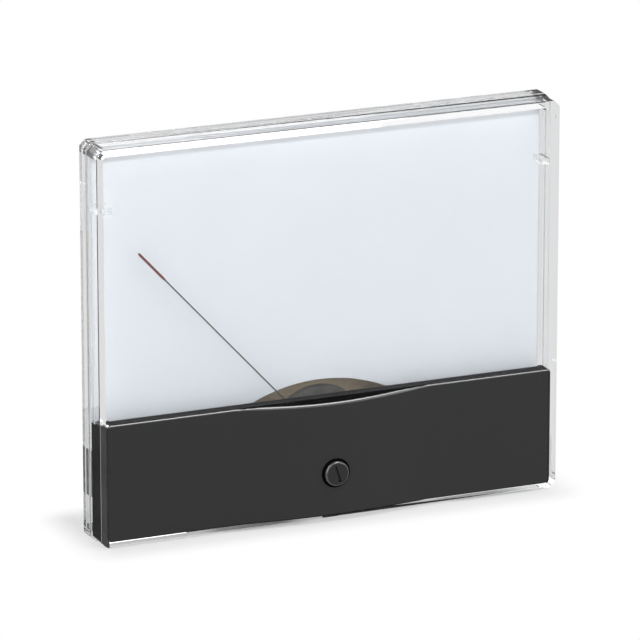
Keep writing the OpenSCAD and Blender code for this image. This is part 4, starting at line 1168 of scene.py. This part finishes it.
coil_tree, wanted, c_out = new_tree(
    "wound_coil", Wire="Float", Turns="Int", Pitch="Float", Finish="Material"
)
path = add(coil_tree, "GeometryNodeMeshToCurve", Mesh=wanted["Geometry"])
thick = math_node(coil_tree, "MULTIPLY", wanted["Wire"], 0.5)
ring = add(coil_tree, "GeometryNodeCurvePrimitiveCircle", Resolution=6, Radius=thick)
sweep = add(
    coil_tree, "GeometryNodeCurveToMesh",
    Curve=path.outputs["Curve"], Profile_Curve=ring.outputs["Curve"],
)
gaps = math_node(coil_tree, "SUBTRACT", wanted["Turns"], 1.0)
half_row = math_node(coil_tree, "MULTIPLY", gaps, -0.5)
first = math_node(coil_tree, "MULTIPLY", half_row, wanted["Pitch"])
start = add(coil_tree, "ShaderNodeCombineXYZ", Z=first)
step = add(coil_tree, "ShaderNodeCombineXYZ", Z=wanted["Pitch"])
row = add(
    coil_tree, "GeometryNodeMeshLine", Count=wanted["Turns"], Start_Location=start.outputs[0],
    Offset=step.outputs[0],
)
laid = add(
    coil_tree, "GeometryNodeInstanceOnPoints",
    Points=row.outputs["Mesh"], Instance=sweep.outputs["Mesh"],
)
send_out(coil_tree, laid, wanted["Finish"], c_out)


def turn_outline(inset):
    """One turn's centre line: a rectangle with round corners, in millimetres."""
    radius, steps = 0.5, 5
    x, y0, y1 = COIL_HALF - inset - radius, COIL_FRONT + inset + radius, COIL_BACK - inset - radius
    line = []
    for cx, cy, first in ((x, y1, 0), (-x, y1, 90), (-x, y0, 180), (x, y0, 270)):
        for i in range(steps):
            a = math.radians(first + 90 * i / (steps - 1))
            line.append(mm(cx + radius * math.cos(a), cy + radius * math.sin(a), 0))
    return line


for layer, (inset, turns) in enumerate(LAYERS):
    line = turn_outline(inset)
    ends = [(i, (i + 1) % len(line)) for i in range(len(line))]
    piece = drawn_piece(f"coil_layer_{layer}", line, ends)
    run_tree(piece, coil_tree, Wire=WIRE * MM, Turns=turns, Pitch=WIRE * MM, Finish=copper_wire)
    smooth(piece)
    piece.data.transform(Matrix.Translation(mm(0, 0, AXIS_Z)) @ Matrix.Rotation(LEAN, 4, "Y"))
    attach(piece, "moving_coil")
    print("coil layer", layer, "has", turns, "turns and", len(piece.data.polygons), "faces")

# %% [markdown]
# ## Housing
#
# The housing is a phenolic moulding. Its mould leaves marks that tell a real
# one from a plain drum: a raised rim round the rear face, ejector pads, and
# a raised plus and minus beside the terminals, because a direct-current
# meter has a polarity. The positive stud is on the right seen from the front.

# %% Dress the housing


def circle(x, y, z, radius, sides):
    """Points round an axis along Y, all in millimetres."""
    turns = (2 * math.pi * i / sides for i in range(sides))
    return [(x + radius * math.cos(t), y, z + radius * math.sin(t)) for t in turns]


def rim_faces(bm, outer, inner, y0, y1, sides=96):
    """Adds a closed ring along Y, round the barrel's axis, in millimetres."""
    loops = [
        [bm.verts.new(mm(*p)) for p in circle(0.0, y, 0.0, r, sides)]
        for r, y in ((outer, y0), (outer, y1), (inner, y1), (inner, y0))
    ]
    for a, b in zip(loops, loops[1:] + loops[:1]):
        for i in range(sides):
            bm.faces.new((a[i - 1], b[i - 1], b[i], a[i]))


REAR = 24.0                                  # the housing's rear face, mm
SUNK = REAR - 0.2                            # where the marks start inside it
MARK_X, MARK_Z, MARK_LONG, MARK_THIN = 14.0, 23.0, 2.2, 0.45
MARKS = (
    # middle's x, half length along X and along Z, height of the plus and minus bars
    (MARK_X, MARK_LONG, MARK_THIN, 0.45),
    (MARK_X, MARK_THIN, MARK_LONG, 0.449),
    (-MARK_X, MARK_LONG, MARK_THIN, 0.45),
)
RIM_OUT, RIM_IN, RIM_HIGH = 30.6, 29.4, 0.35
PAD_OUT, PAD_RADIUS, PAD_HIGH, PAD_SIDES = 22.0, 2.6, 0.12, 40

housing = merged_copy("rear_housing", "barrel_moulding")
with Opened(housing.data) as bm:
    for x, half_x, half_z, high in MARKS:
        box_faces(bm, x - half_x, SUNK, MARK_Z - half_z, x + half_x, REAR + high, MARK_Z + half_z)
    rim_faces(bm, RIM_OUT, RIM_IN, SUNK, REAR + RIM_HIGH)
    for angle in (-90, -18, 198):
        x, z = PAD_OUT * math.cos(math.radians(angle)), PAD_OUT * math.sin(math.radians(angle))
        prism_faces(bm, *(circle(x, y, z, PAD_RADIUS, PAD_SIDES) for y in (SUNK, REAR + PAD_HIGH)))
    bmesh.ops.recalc_face_normals(bm, faces=bm.faces)
housing = rounded(housing, 0.14, segments=2, angle=30.0)
settle(housing, "case", "housing_brown", "rear_housing")

# %% [markdown]
# The two leads run from the movement to the terminal heads. The solids show
# them as short straight lengths, so their copies are shaded smooth.

# %% Dress the leads
for node in ("positive_lead", "negative_lead"):
    lead = merged_copy(node, node + "_wire")
    smooth(lead)
    settle(lead, "case", slot_of[node], node)
